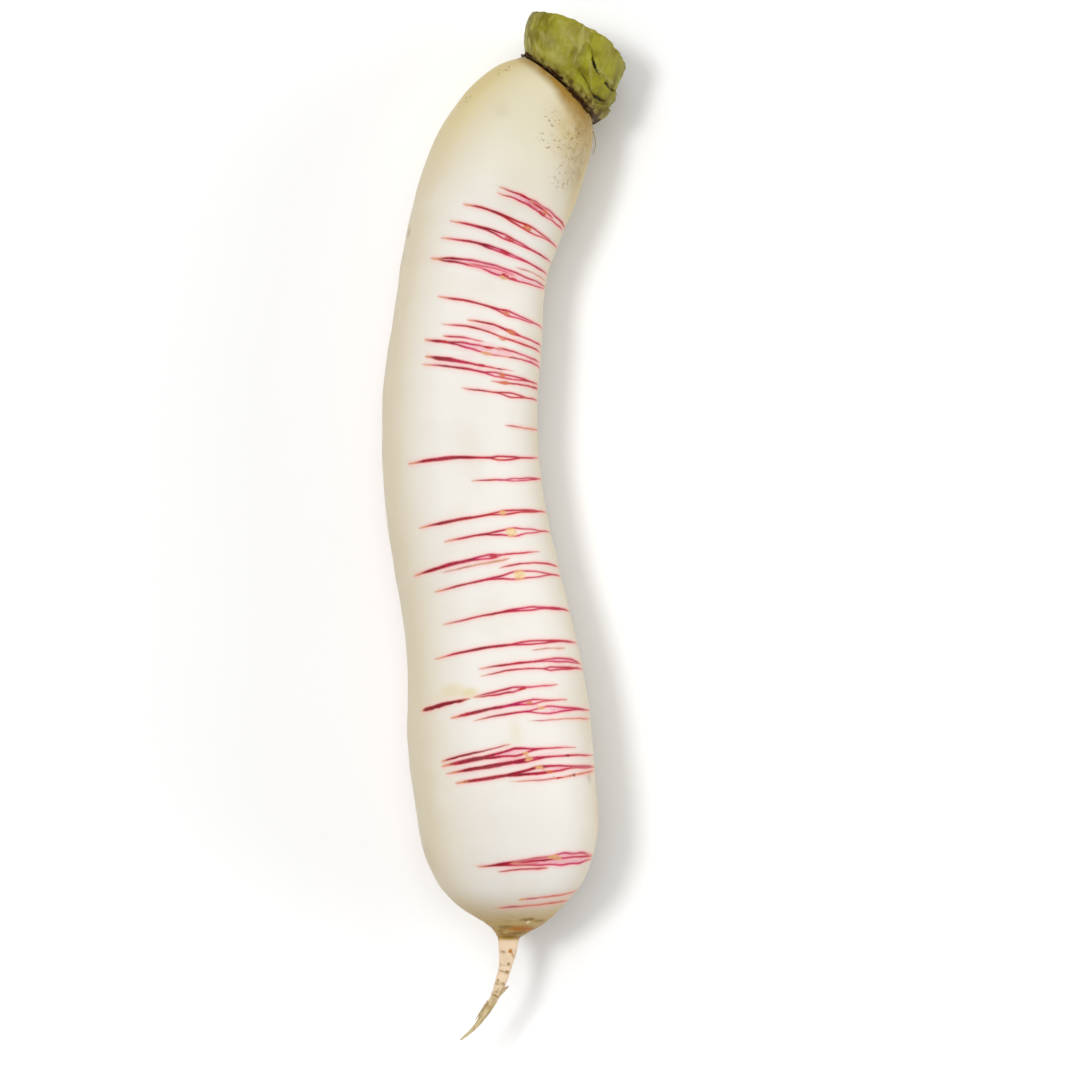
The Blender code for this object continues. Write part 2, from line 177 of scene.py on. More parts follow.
# Splits across the skin, all as mm down from the crown's rim and degrees round the root (0 is up,
# 90 to +X). Each row: points of the middle line; openings as degrees, half opening in mm and
# strength of the pink inside; half width of the lips at the left and at the right in mm; the lips'
# colour; scars as mm off the middle line, degrees, radius along and radius round in mm, colour.
SPLITS = (
    (((41.3, -2), (41.4, 20), (43.0, 44), (46.3, 79)),
     ((-3, 1.1, 0), (9, 1.0, 0.2), (16, 1.0, 0.9), (26, 1.1, 1.7), (34, 1.2, 1.8), (40, 1.4, 0.6),
      (55, 1.1, 0.15), (79, 0.8, 0)),
     (0.36, 0.34), CRIMSON,
     ((1.2, 40, 0.7, 1.8, KNOT), (0.0, 43, 0.7, 1.2, ORANGE), (-1.0, 20, 0.4, 2.2, KNOT))),
    (((40.9, 26), (42.4, 40), (44.2, 56)), (), (0.34, 0.26), RED, ()),
    (((50, -23), (49.1, 0), (50.6, 30), (54.3, 80)),
     ((3, 0, 0.3), (14, 0.25, 0.6), (23, 0.5, 0.3), (32, 1.05, 0), (43, 0.8, 0.1), (56, 0.35, 0.2),
      (64, 0, 0)),
     (0.44, 0.28), RED, ((0.0, 33, 0.85, 1.7, ORANGE), (-0.8, 31, 0.35, 1.2, RED))),
    (((56.4, -30), (55.7, 0), (57.4, 30), (60.8, 76)),
     ((-2, 0, 0.4), (8, 0.45, 0.5), (17, 0.8, 0.5), (24, 0.55, 0.6), (32, 0.45, 0.4), (43, 0, 0)),
     (0.4, 0.3), CRIMSON, ((0.1, 22, 0.7, 1.8, KNOT), (0.0, 55, 0.3, 2.0, DARK))),
    (((62.6, -34), (61.2, 0), (62.6, 28), (66.3, 79)),
     ((0, 0, 0.6), (8, 0.35, 0.9), (18, 0.5, 0.9), (24, 0.45, 0.8), (35, 0.25, 0.6), (45, 0, 0)),
     (0.38, 0.32), CRIMSON, ((-0.1, 22, 0.6, 2.0, KNOT),)),
    (((66.4, 32), (67, 49), (68.6, 72)), (), (0.15, 0.18), TAN_LINE, ()),
    (((69.6, -39), (68.4, 0), (69.6, 27), (71.8, 80)),
     ((-31, 0, 0), (-24, 0.4, 0.4), (-12, 0.65, 0.7), (0, 0.9, 0.9), (10, 1.15, 1), (22, 1.5, 0.9),
      (30, 1.5, 0.6), (40, 1.2, 0.6), (55, 1.0, 0.6), (80, 0.45, 0.2)),
     (0.44, 0.32), CRIMSON,
     ((0.7, 26, 0.6, 1.2, KNOT), (1.9, 25, 0.6, 1.2, TAN), (1.1, 35, 0.5, 1.4, CRIMSON))),
    (((68.8, -6), (68.6, 14), (69.7, 38)), (), (0.22, 0.26), ROSE, ()),
    (((81.6, -27), (81.9, 5), (83.7, 30), (87.3, 82)),
     ((18, 0, 0.2), (25, 0.35, 0.2), (31, 0.9, 0), (38, 0.6, 0.1), (48, 0.45, 0.3), (57, 0.3, 0.3),
      (63, 0, 0)),
     (0.38, 0.28), CRIMSON, ((0.1, 31, 0.8, 1.6, ORANGE), (-0.6, 29, 0.4, 1.1, RED))),
    (((88.2, -2), (88.6, 20), (90.8, 38), (94, 79)), ((30, 0, 0), (37, 0.5, 0), (46, 0, 0)),
     (0.36, 0.32), CRIMSON, ((0.0, 37, 0.8, 1.9, ORANGE),)),
    (((90.7, -22), (90.8, 8), (93, 32), (96.8, 80)), (), (0.28, 0.32), RED, ((0.5, 29, 0.7, 1.4, RUST),)),
    (((94.7, -18), (94.5, -4), (95.2, 16)), (), (0.32, 0.16), CRIMSON, ()),
    (((96.7, -33), (96.7, -6), (98.2, 19), (98.6, 38)),
     ((-12, 0, 0), (-4, 0.5, 0.3), (3, 0.75, 0.5), (10, 0.9, 0.6), (19, 1.2, 0.5), (30, 1.2, 0.6),
      (38, 1.1, 0.6)),
     (0.44, 0.24), CRIMSON,
     ((0.0, -15, 0.5, 1.4, RED), (-1.1, 19, 0.45, 1.7, RED), (1.2, 18, 0.6, 1.9, TAN))),
    (((96.4, 24), (98, 44), (100.4, 76)), (), (0.26, 0.32), CRIMSON, ()),
    (((99.8, 32), (100.2, 50), (102.4, 80)), (), (0.24, 0.32), CRIMSON, ()),
    (((102, -31), (102.6, -10), (103.7, 14), (105, 46)), (), (0.62, 0.16), CRIMSON,
     ((-0.2, 15, 0.5, 1.3, KNOT), (0.1, 17, 0.2, 0.5, ROSE), (0.0, 30, 0.25, 0.9, DARK))),
    (((104.8, -33), (105.2, 0), (106.8, 33), (109.1, 80)),
     ((18, 0, 0.2), (27, 0.75, 0.5), (40, 0.6, 0.4), (52, 0.35, 0.4), (62, 0, 0)),
     (0.34, 0.32), CRIMSON, ((-0.2, 33, 0.6, 1.2, ORANGE),)),
    (((109, 22), (109.3, 36), (110.6, 80)), (), (0.22, 0.36), RED, ((0.0, 35, 0.7, 2.3, ORANGE),)),
    (((112, 0), (113, 25), (113.9, 45), (115.1, 80)),
     ((30, 0, 0), (37, 0.55, 0.2), (43, 0.75, 0), (50, 0.5, 0.2), (57, 0, 0)), (0.28, 0.32), RED, ()),
    (((125, 35), (126, 52), (127, 84)), (), (0.2, 0.22), RUST, ()),
    (((137.5, -44), (136.4, -2), (137.3, 32), (138.2, 80)),
     ((24, 0, 0.6), (31, 0.8, 0.1), (38, 0.65, 0.2), (46, 0.3, 0.5), (52, 0, 0)),
     (0.54, 0.3), CRIMSON, ((0.6, 31, 0.3, 1.7, ORANGE),)),
    (((145, 5), (145.2, 25), (145.8, 42), (146.4, 80)),
     ((34, 0, 0.3), (42, 0.45, 0.3), (56, 0.4, 0.6), (68, 0.2, 0.4), (75, 0, 0)), (0.24, 0.28), CRIMSON, ()),
    (((159, -40), (157.7, 0), (157.5, 28), (159.4, 78)),
     ((17, 0, 0.4), (28, 0.75, 0), (36, 0.5, 0.5), (44, 0.35, 0.8), (58, 0.3, 0.7), (66, 0, 0)),
     (0.44, 0.32), RED, ((0.0, 28, 0.8, 1.3, AMBER),)),
    (((164.8, -20), (164.1, 8), (165, 32), (166.9, 78)),
     ((11, 0, 0.3), (20, 0.55, 0.1), (29, 1.2, 0), (36, 1.4, 0), (43, 1.0, 0), (57, 0.45, 0.1), (64, 0, 0)),
     (0.38, 0.26), CRIMSON,
     ((0.0, 32, 1.4, 2.1, YELLOW), (-1.3, 32, 0.3, 1.7, AMBER), (1.3, 32, 0.3, 1.7, AMBER))),
    (((174.3, -52), (172.6, -15), (172.3, 14), (173.8, 58)),
     ((-2, 0, 0.6), (5, 0.5, 0.6), (11, 0.75, 0.3), (15, 0.6, 0.6), (20, 0, 0)),
     (0.56, 0.26), CRIMSON, ((0.0, 14, 0.6, 1.4, KNOT),)),
    (((174.8, -27), (174.4, 0), (174.2, 28)), (), (0.16, 0.26), TAN_LINE, ()),
    (((177, 14), (176.7, 33), (180, 78)), (), (0.26, 0.3), RED, ()),
    (((180.9, -36), (180.1, 0), (180.6, 30), (183.8, 83)),
     ((6, 0, 0.4), (18, 0.55, 0.1), (27, 1.3, 0), (33, 1.5, 0), (40, 1.2, 0), (52, 0.7, 0),
      (62, 0.15, 0.2), (66, 0, 0)),
     (0.36, 0.28), CRIMSON,
     ((0.0, 31, 1.5, 2.2, YELLOW), (-1.4, 31, 0.3, 1.8, AMBER), (1.3, 31, 0.3, 1.8, AMBER))),
    (((192.8, -33), (192.1, 0), (192.7, 30), (195.8, 79)),
     ((12, 0, 1), (22, 0.3, 1.6), (31, 0.5, 0.9), (36, 0.5, 0.2), (42, 0.2, 0.2), (60, 0.15, 0.3),
      (66, 0, 0)),
     (0.32, 0.36), CRIMSON, ()),
    (((204.6, -43), (203.4, -5), (204.1, 30), (206.6, 78)),
     ((14, 0, 0.6), (20, 0.3, 0.7), (28, 0.6, 0.2), (36, 0.5, 0.1), (43, 0.2, 0.5), (50, 0.1, 0.5),
      (58, 0, 0)),
     (0.42, 0.32), CRIMSON, ()),
    (((206.6, 26), (206.9, 40), (207.8, 60)), (), (0.13, 0.15), TAN_LINE, ()),
    (((210.5, -12), (210.3, 10), (210.8, 40), (213.5, 80)),
     ((30, 0, 0.6), (40, 0.4, 0.9), (50, 0.6, 1), (62, 0.5, 0.9), (72, 0.2, 0.5), (78, 0, 0)),
     (0.34, 0.3), CRIMSON, ()),
    (((213.1, -12), (212.4, 15), (213.7, 42), (215.3, 80)),
     ((35, 0, 0.3), (40, 0.55, 0.3), (48, 0.35, 0.6), (58, 0.2, 0.6), (66, 0, 0)), (0.24, 0.32), CRIMSON, ()),
    (((223.0, -58), (221.6, -38), (220.4, -17)), (), (0.76, 0.56), DARK, ()),
    (((220, -16), (219.5, 3), (218.9, 18), (219.4, 47)),
     ((-14, 0.1, 0.6), (-4, 0.45, 0.7), (5, 0.65, 0.6), (12, 0.75, 0.4), (18, 0.3, 0.7), (22, 0, 0)),
     (0.34, 0.2), CRIMSON, ((0.2, 17, 0.5, 1.4, RED),)),
    (((226.7, -33), (224.7, 0), (223.9, 22), (224.8, 54)),
     ((10, 0, 0.5), (18, 0.6, 0.2), (24, 0.7, 0.1), (30, 0.3, 0.1), (36, 0, 0)),
     (0.55, 0.24), CRIMSON, ((0.2, 21, 0.6, 1.1, ORANGE),)),
    (((228.6, -19), (227, 12), (227.3, 35), (228.8, 79)),
     ((20, 0, 0.1), (27, 0.9, 0.1), (33, 1.3, 0.3), (38, 1.0, 0.9), (47, 0.6, 0.9), (56, 0.25, 0.6),
      (64, 0, 0)),
     (0.3, 0.34), CRIMSON, ((-0.9, 29, 0.5, 1.4, AMBER),)),
    (((230.3, 16), (230.7, 38), (231.6, 77)), (), (0.12, 0.18), RUST, ()),
    (((241.9, -42), (240, -20), (237.7, 7)), (), (0.4, 0.2), DARK, ()),
    (((243.9, -43), (241.4, -8), (240.3, 20), (240.7, 57)),
     ((-12, 0, 0.5), (-4, 0.5, 0.9), (3, 0.9, 0.9), (8, 1.2, 0.6), (14, 1.0, 0.4), (18, 0.4, 0.2),
      (22, 0, 0)),
     (0.66, 0.24), CRIMSON, ((0.9, 15, 0.6, 0.9, AMBER),)),
    (((246.3, -40), (244.4, 2), (243.2, 26), (244.1, 77)),
     ((8, 0, 0.4), (16, 0.5, 0), (22, 0.3, 0.2), (26, 0, 0)),
     (0.62, 0.26), CRIMSON, ((-0.2, 17, 0.6, 1.3, AMBER), (0.0, 45, 0.45, 1.0, DARK))),
    (((249.9, -33), (248.6, 0), (247.3, 30), (248.1, 80)),
     ((3, 0, 0.3), (10, 0.45, 0.3), (22, 1.0, 0.1), (30, 1.15, 0.3), (38, 0.8, 0.9), (45, 0.3, 0.8),
      (64, 0.3, 0.6), (78, 0.1, 0)),
     (0.62, 0.3), CRIMSON, ((-1.0, 23, 0.5, 1.4, AMBER), (0.9, 30, 0.5, 1.3, ORANGE))),
    (((250.7, 1), (250.9, 22), (250.1, 50), (249.5, 77)), (), (0.16, 0.28), RUST,
     ((0.0, 36, 0.3, 1.5, RED), (0.0, 49, 0.55, 0.9, BROWN))),
    (((280.1, -27), (279.2, 8), (278.4, 40), (278.6, 77)),
     ((-12, 0, 1), (0, 0.4, 2.0), (10, 0.8, 2.0), (18, 1.1, 1.8), (26, 1.4, 0.9), (40, 1.9, 0.8),
      (55, 1.8, 0.9), (65, 1.2, 0.8), (77, 0.5, 0.4)),
     (0.4, 0.34), CRIMSON, ((-1.2, 31, 0.6, 2.0, AMBER), (-0.2, 36, 0.5, 1.3, TAN))),
    (((279.2, 0), (278.6, 22), (277.9, 45), (278.1, 72)), (), (0.34, 0.3), CRIMSON, ()),
    (((282, -10), (281.3, 12), (281.3, 30)), (), (0.22, 0.32), RED, ()),
    (((292, 5), (291.7, 30), (290.3, 74)), (), (0.2, 0.28), RUST, ((0.0, 10, 0.4, 1.4, AMBER),)),
    (((295, -24), (294.5, 6), (294, 36), (293.4, 76)), (), (0.2, 0.3), RUST, ()),
    (((300.3, 2), (300.3, 22), (300.3, 42)), (), (0, 0), TAN_LINE, ((0.0, 22, 0.5, 0.7, KNOB),)),
)
# Pink that shows through the skin beside splits: mm down, degrees round, radii along and round in
# mm, strength.
BLUSHES = (
    (90, 18, 1.1, 6, 0.9), (93.5, 42, 0.9, 5, 0.7), (98.5, 38, 0.9, 4, 0.7), (95.8, 18, 0.8, 4, 0.5),
    (100.8, 4, 1.0, 4, 0.3), (243, 4, 0.8, 5, 1.0), (242.2, 30, 0.8, 6, 0.5), (70, 10, 1.2, 6, 0.4),
    (225.6, 22, 0.8, 4, 0.4), (212, 50, 0.9, 5, 0.5), (280, 40, 1.3, 5, 0.4), (107.9, 48, 0.7, 4, 0.5),
    (242.5, -18, 1.0, 8, 0.35), (245.0, 2, 0.9, 10, 0.4), (247.0, 30, 0.9, 8, 0.45),
    (246.5, -22, 0.9, 6, 0.25), (226.0, -5, 0.8, 7, 0.3), (104.4, -10, 0.8, 8, 0.35),
    (98.8, -2, 0.8, 8, 0.3), (106.4, 20, 0.8, 6, 0.4),
)
# The tan band along the crown's rim: degrees round, its reach in mm and its strength.
RIM_BAND = (
    (-180, -90, -40, -20, 0, 25, 40, 60, 85, 120, 180),
    (3, 1.2, 1.6, 1.8, 2.2, 5.4, 8.4, 13.5, 14, 8, 3),
    (0.9, 0.8, 0.9, 1.1, 1.25, 1.25, 1.15, 0.95, 0.9, 0.9, 0.9),
)
# Soft ochre smudges: mm down, degrees round, radii along and round in mm, strength.
SMUDGES = (
    (218.3, -18, 2.2, 4.0, 0.85), (217.0, -29, 3.2, 6.0, 0.6), (218.5, -37, 1.8, 4.0, 0.35),
    (234, 10, 5.5, 2.6, 0.3), (238, 6, 2.5, 4, 0.2),
)
LIP_GROWTH = 1.20  # widens all the lips of the splits
FLANK = (72, 100)  # splits that end between these degrees are cut off by the photo's outline
RUN_ON = 12  # degrees that those splits run on round the right flank
SPLIT_REACH = 7  # mm above and below a split that it is worked out for
SCAR_SPAN = 8  # mm round the root that a scar may reach
HIDDEN_ROW = 212  # degrees round the root of the row of splits on the far side
HIDDEN_SPLITS = 26
HIDDEN_START, HIDDEN_STEP = 45, 9.3  # mm down to the first of them, and from each to the next
LAYERS = 3  # neighbouring splits go to different layers, so that they can run close together


def hidden_splits():
    """A seeded row of plain splits for the side that faces away, like the row that shows."""
    rng = np.random.default_rng(7)
    rows = []
    for i in range(HIDDEN_SPLITS):
        start = HIDDEN_START + i * HIDDEN_STEP + rng.uniform(-3, 3)
        left = HIDDEN_ROW - rng.uniform(34, 54)
        right = HIDDEN_ROW + rng.uniform(34, 54)
        slope = rng.uniform(-3, 3)
        wide = rng.uniform(0.3, 0.9)
        colour = (CRIMSON, RED)[int(rng.integers(0, 2))]
        path = ((start, left), (start - rng.uniform(0.5, 2), HIDDEN_ROW), (start + slope, right))
        opening = ((HIDDEN_ROW - 14, 0, 0.4), (HIDDEN_ROW, wide, 0.4), (HIDDEN_ROW + 22, 0, 0.4))
        scars = ((0.0, HIDDEN_ROW, rng.uniform(0.5, 1.1), 1.4, (TAN, ORANGE, AMBER, KNOT)[i % 4]),)
        rows.append((path, opening, (rng.uniform(0.3, 0.5), 0.28), colour, scars))
    return rows


# ---- Soft stains on the skin: mm down from the rim, degrees round, radii in mm along and round,
# channel and strength. Channels: 0 yellow-green, 1 orange-tan, 2 olive-brown, 3 specks.
STAINS = (
    (11, 42, 13, 11, 0, 0.75), (15, 58, 27, 17, 1, 0.34), (9, 40, 9, 14, 1, 0.3),
    (24, 68, 12, 7, 1, 0.38), (272, -30, 34, 22, 0, 0.08), (34, 80, 14, 8, 0, 0.6),
    (21, 62, 12, 9, 2, 0.34), (11, 52, 4, 5, 2, 0.45), (12.5, 17, 3.4, 4.5, 3, 1.0),
    (20, 26, 3.5, 8, 3, 0.8), (16, 50, 9, 8, 3, 0.75), (28, 48, 7, 7, 3, 0.6), (17, -23, 3, 4, 2, 0.12),
    (18, -69, 4, 4, 3, 0.9), (6, -56, 3, 3, 3, 0.8), (10, -72, 16, 9, 0, 0.6), (63, -76, 2, 1.8, 2, 0.7),
    (70, -80, 2, 2, 3, 1.0), (276, -74, 8, 8, 1, 0.16), (251, 68, 3, 3, 2, 0.35),
    (266, 84, 14, 4, 0, 0.5), (196, 84, 10, 4, 0, 0.3), (299.4, 20, 0.7, 3.6, 2, 1.6),
    (300.1, 50, 0.6, 4.0, 2, 1.4), (301.8, -25, 0.7, 4.5, 2, 1.2), (304.6, 24, 1.0, 4.5, 2, 1.3),
    (306.2, 4, 0.9, 4.2, 2, 1.4), (303.4, -45, 0.9, 2.5, 2, 1.1), (305.2, -20, 0.6, 2.5, 2, 0.9),
    (311.3, -38, 0.35, 1.6, 2, 1.0), (312.9, 46, 0.5, 0.5, 2, 1.1), (315.6, 24, 0.45, 0.7, 2, 1.2),
    (318.6, 32, 0.5, 0.9, 1, 1.4), (318.3, -30, 0.3, 1.4, 2, 0.7), (322.0, -36, 0.45, 0.6, 2, 1.3),
    (322.9, 29, 0.5, 0.5, 2, 1.4), (326.0, -5, 0.5, 0.5, 2, 1.4), (327.6, 0, 0.4, 2.4, 2, 1.5),
    (330.0, 37, 0.5, 0.4, 2, 1.1), (333.4, 45, 2.6, 0.6, 2, 0.9), (337.5, 30, 2.0, 0.4, 2, 0.6),
)
# Rust-brown marks: mm down, degrees round, radii along and round in mm, strength.
RUST_MARKS = (
    (302.6, 14, 1.2, 5.0, 1.2), (303.2, 42, 1.0, 4.5, 1.1), (311.3, 18, 0.8, 0.9, 1.3),
    (312.4, 34, 0.5, 0.6, 1.0), (332.0, 10, 1.0, 0.4, 0.6), (301.2, 70, 0.5, 2.0, 0.6),
)
# Wrinkles round the neck and the tail: mm along, half width and depth in mm.
TAIL_RINGS = (
    (291, 0.8, 0.06), (297, 0.7, 0.08), (300, 0.5, 0.14), (302.3, 0.5, 0.18), (304.2, 0.5, 0.22),
    (306.4, 0.6, 0.2), (311.8, 0.4, 0.16), (316, 0.4, 0.12), (319.2, 0.4, 0.18), (322.7, 0.4, 0.2),
    (326.4, 0.4, 0.12), (328.3, 0.35, 0.22), (332, 0.5, 0.1), (337, 0.5, 0.08),
)
# Relief of the skin in mm. Swellings: height, size and seed.
SWELLS = ((0.32, 38, 1), (0.12, 13, 2))
OPENING_DEPTH, GROOVE_DEPTH, RIM_HEIGHT, SCAR_HEIGHT = 0.2, 0.16, 0.07, 0.22
GROOVE_WIDTH, RIM_WIDTH, RIM_OFF = 0.45, 0.5, 0.9


def smooth(low, high, value):
    """0 at low, 1 at high, smooth between; low may be above high."""
    t = np.clip((value - low) / (high - low), 0, 1)
    return t * t * (3 - 2 * t)


def mix(a, b, t):
    return a + (b - a) * t


def flow(x, at, values):
    """A smooth curve through the values, which are numbers or rows of numbers."""
    slopes = np.gradient(values, at, axis=0)
    i = np.clip(np.searchsorted(at, x, side="right") - 1, 0, len(at) - 2)
    span = at[i + 1] - at[i]
    t = (x - at[i]) / span
    if values.ndim == 2:
        span, t = span[:, None], t[:, None]
    return (
        (2 * t**3 - 3 * t**2 + 1) * values[i]
        + (t**3 - 2 * t**2 + t) * span * slopes[i]
        + (3 * t**2 - 2 * t**3) * values[i + 1]
        + (t**3 - t**2) * span * slopes[i + 1]
    )


def waves(points, length, seed, count=14):
    """Smooth noise about -1 to 1 at points in mm, with features of that length."""
    rng = np.random.default_rng(seed)
    out = np.zeros(points.shape[:-1])
    for _ in range(count):
        way = rng.normal(size=3)
        way /= np.linalg.norm(way)
        out += np.sin(points @ way * (2 * pi / (length * rng.uniform(0.7, 1.6))) + rng.uniform(0, 2 * pi))
    return out / sqrt(count / 2) / 1.6


def axes(yaw, pitch):
    """Unit vectors along a direction given in degrees, to its right and up from it."""
    yaw, pitch = np.radians(yaw), np.radians(pitch)
    level = np.cos(pitch)
    along = np.stack((np.sin(yaw) * level, np.cos(yaw) * level, 0 * yaw + np.sin(pitch)), -1)
    right = np.stack((np.cos(yaw), -np.sin(yaw), 0 * yaw), -1)
    return along, right, np.cross(right, along)


class Root:
    """The root's surface as a function of mm along it and radians round it."""

    def __init__(self):
        self.rows = np.array(ROOT_SECTIONS, float)
        steps = np.linalg.norm(np.diff(self.rows[:, :3], axis=0), axis=1)
        self.at = np.concatenate(([0.0], np.cumsum(steps)))
        self.length = self.at[-1]

    def rings(self, s, turns):
        """Points, outward directions and radii; s below 0 is on the crown's dome."""
        rows = flow(np.maximum(s, 0.0), self.at, self.rows)
        along, right, up = axes(rows[:, 3], rows[:, 4])
        dome = np.radians(np.clip(-s, 0, 90))  # s counts degrees up the dome there
        radius = rows[:, 5] * np.cos(dome)
        centre = rows[:, :3] + along * (CROWN_DOME * np.sin(dome))[:, None]
        out = np.sin(turns)[None, :, None] * right[:, None] + np.cos(turns)[None, :, None] * up[:, None]
        return centre[:, None] + radius[:, None, None] * out, out, radius


def lip_width(u, opening, lips, wander):
    """Half width of a split's lips in mm: thin at both ends and a little uneven."""
    taper = smooth(1.0, 0.93, np.abs(u)) * mix(0.36, 1.0, smooth(0.96, 0.62, np.abs(u)))
    thick = mix(lips[0], lips[1], smooth(-0.5, 0.6, u)) * taper * LIP_GROWTH
    thick = thick * (1 + 0.12 * np.sin(u * 7 + wander[3]) + 0.07 * np.sin(u * 23 + wander[4]))
    return thick * (1 - 0.15 * smooth(0.1, 0.5, opening))


def lip_tone(u, colour, wander, rng):
    """The lips' colour: darker on the left, some magenta in the middle, tan at both ends."""
    ends = np.clip(smooth(-0.74, -0.90, u) + smooth(0.62, 1.0, u) * 0.75, 0, 0.92)[..., None]
    dark = smooth(0.1, -0.45, u) * (0.55 + 0.45 * np.sin(u * 9 + wander[5]))
    purple = rng.uniform(0.1, 0.95) * np.exp(-(((u - rng.uniform(-0.15, 0.25)) / 0.4) ** 2))
    tone = mix(np.array(colour), np.array(MAGENTA), purple[..., None] * (colour == CRIMSON))
    tone = mix(tone, np.array(DARK), 0.80 * dark[..., None])
    return tone * (1 - ends) + np.array(TIP) * ends


def split_fields(s, phi, radius):
    """Per point and layer: distance across the split, half opening, half lip width and presence,
    then the lips' colour with the pink's strength. For the scars: the place in radii round and
    along, a zero and the presence, then the colour."""
    shape = s.shape
    layers = []
    for _ in range(LAYERS):
        layers.append({
            "near": np.full(shape, 99.0), "owner": np.full(shape, -1),
            "line": np.zeros(shape + (4,)), "tone": np.zeros(shape + (4,)),
        })
    scar = np.zeros(shape + (4,))
    scar_tone = np.zeros(shape + (4,))
    scar_near = np.full(shape, 99.0)
    rng = np.random.default_rng(3)
    rows = [(i % LAYERS, row) for table in (SPLITS, hidden_splits()) for i, row in enumerate(table)]
    for owner, (layer, (path, openings, lips, colour, scars)) in enumerate(rows):
        field = layers[layer]
        places, angles = zip(*path)
        mid, half = (angles[0] + angles[-1]) / 2, (angles[-1] - angles[0]) / 2
        knots = np.array(angles, float) - mid
        band = np.nonzero((s[:, 0] > min(places) - SPLIT_REACH) & (s[:, 0] < max(places) + SPLIT_REACH))[0]
        near_rows = slice(band[0], band[-1] + 1)
        turn = (phi[near_rows] - mid + 180) % 360 - 180
        run = RUN_ON if FLANK[0] <= angles[-1] < FLANK[1] else 0.0
        u = turn / np.where(turn > 0, half + run, half)  # -1 at the left end, 1 at the right end
        line = flow(np.clip(turn, -half, half), knots, np.array(places))
        slope = (places[-1] - places[-2]) / (angles[-1] - angles[-2])
        line = line + slope * np.clip(turn - half, 0, run)
        wander = rng.uniform(0, 2 * pi, 6)
        line = line + 0.08 * np.sin(u * 5 + wander[0]) + 0.05 * np.sin(u * 16 + wander[1])
        v = s[near_rows] - line
        opening, pink = 0 * u, 0 * u
        if openings:
            at, wide, fill = (np.array(column, float) for column in zip(*openings))
            opening = np.interp(turn, at - mid, wide) * (1 + 0.10 * np.sin(u * 19 + wander[2]))
            pink = np.interp(turn, at - mid, fill)
        thick = lip_width(u, opening, lips, wander)
        tone = lip_tone(u, colour, wander, rng)
        there = (np.abs(u) < 1.0) * smooth(3.2 + opening, 2.2 + opening, np.abs(v))
        near = np.abs(v) - opening + 6 * (np.abs(u) > 1.0)
        best = near < field["near"][near_rows]
        field["near"][near_rows][best] = near[best]
        field["owner"][near_rows][best] = owner
        field["line"][near_rows][best] = np.stack((v, opening, np.maximum(thick, 0.0), there), -1)[best]
        field["tone"][near_rows][best] = np.concatenate((tone, pink[..., None]), -1)[best]
        for off, angle, along, around, scar_colour in scars:
            arc = np.radians(turn - (angle - mid)) * radius[near_rows]
            far = np.hypot(arc / around, (v - off) / along)
            close = far < scar_near[near_rows]
            scar_near[near_rows][close] = far[close]
            there = smooth(2.6, 1.8, far) * (np.abs(arc) < SCAR_SPAN)
            scar[near_rows][close] = np.stack((arc / around, (v - off) / along, 0 * far, there), -1)[close]
            scar_tone[near_rows][close] = (*scar_colour, 1.0)
    # Nothing is drawn between points that belong to different splits.
    for field in layers:
        same = np.ones(shape)
        for down in (-1, 0, 1):
            for turned in (-1, 0, 1):
                beside = np.roll(field["owner"], (down, turned), (0, 1))
                same *= beside == field["owner"]
        field["line"][..., 3] *= same
    return layers, scar, scar_tone


def ring_quads(rings, around, first=0, inverse=False):
    """Faces between rings of vertices that follow each other."""
    faces = []
    for a in range(first, first + (rings - 1) * around, around):
        for j in range(around):
            k = (j + 1) % around
            one, two, three, four = a + j, a + k, a + around + k, a + around + j
            faces.append((one, four, three, two) if inverse else (one, two, three, four))
    return faces


def new_mesh(name, points, faces, sharp=None):
    """A smooth mesh in the scene; edges above sharp degrees stay sharp."""
    mesh = bpy.data.meshes.new(name)
    mesh.from_pydata([tuple(p) for p in points], [], faces)
    mesh.validate()
    mesh.shade_smooth()
    if sharp:
        mesh.set_sharp_from_angle(angle=radians(sharp))
    made = bpy.data.objects.new(name, mesh)
    bpy.context.scene.collection.objects.link(made)
    return made


def store(made, name, values):
    """Four numbers at each vertex, as a colour attribute."""
    layer = made.data.attributes.new(name, "FLOAT_COLOR", "POINT")
    layer.data.foreach_set("color", np.asarray(values, np.float32).reshape(-1, 4).ravel())


def soft_marks(rows, s, phi, radii, outside, inside):
    """Four channels of soft oval marks; outside and inside say where they fade, in radii."""
    out = np.zeros(s.shape + (4,))
    for at, turn, along, around, channel, strength in rows:
        arc = np.radians((phi - turn + 180) % 360 - 180) * radii
        far = np.hypot((s - at) / along, arc / around)
        out[..., channel] = np.maximum(out[..., channel], strength * smooth(outside, inside, far))
    return out


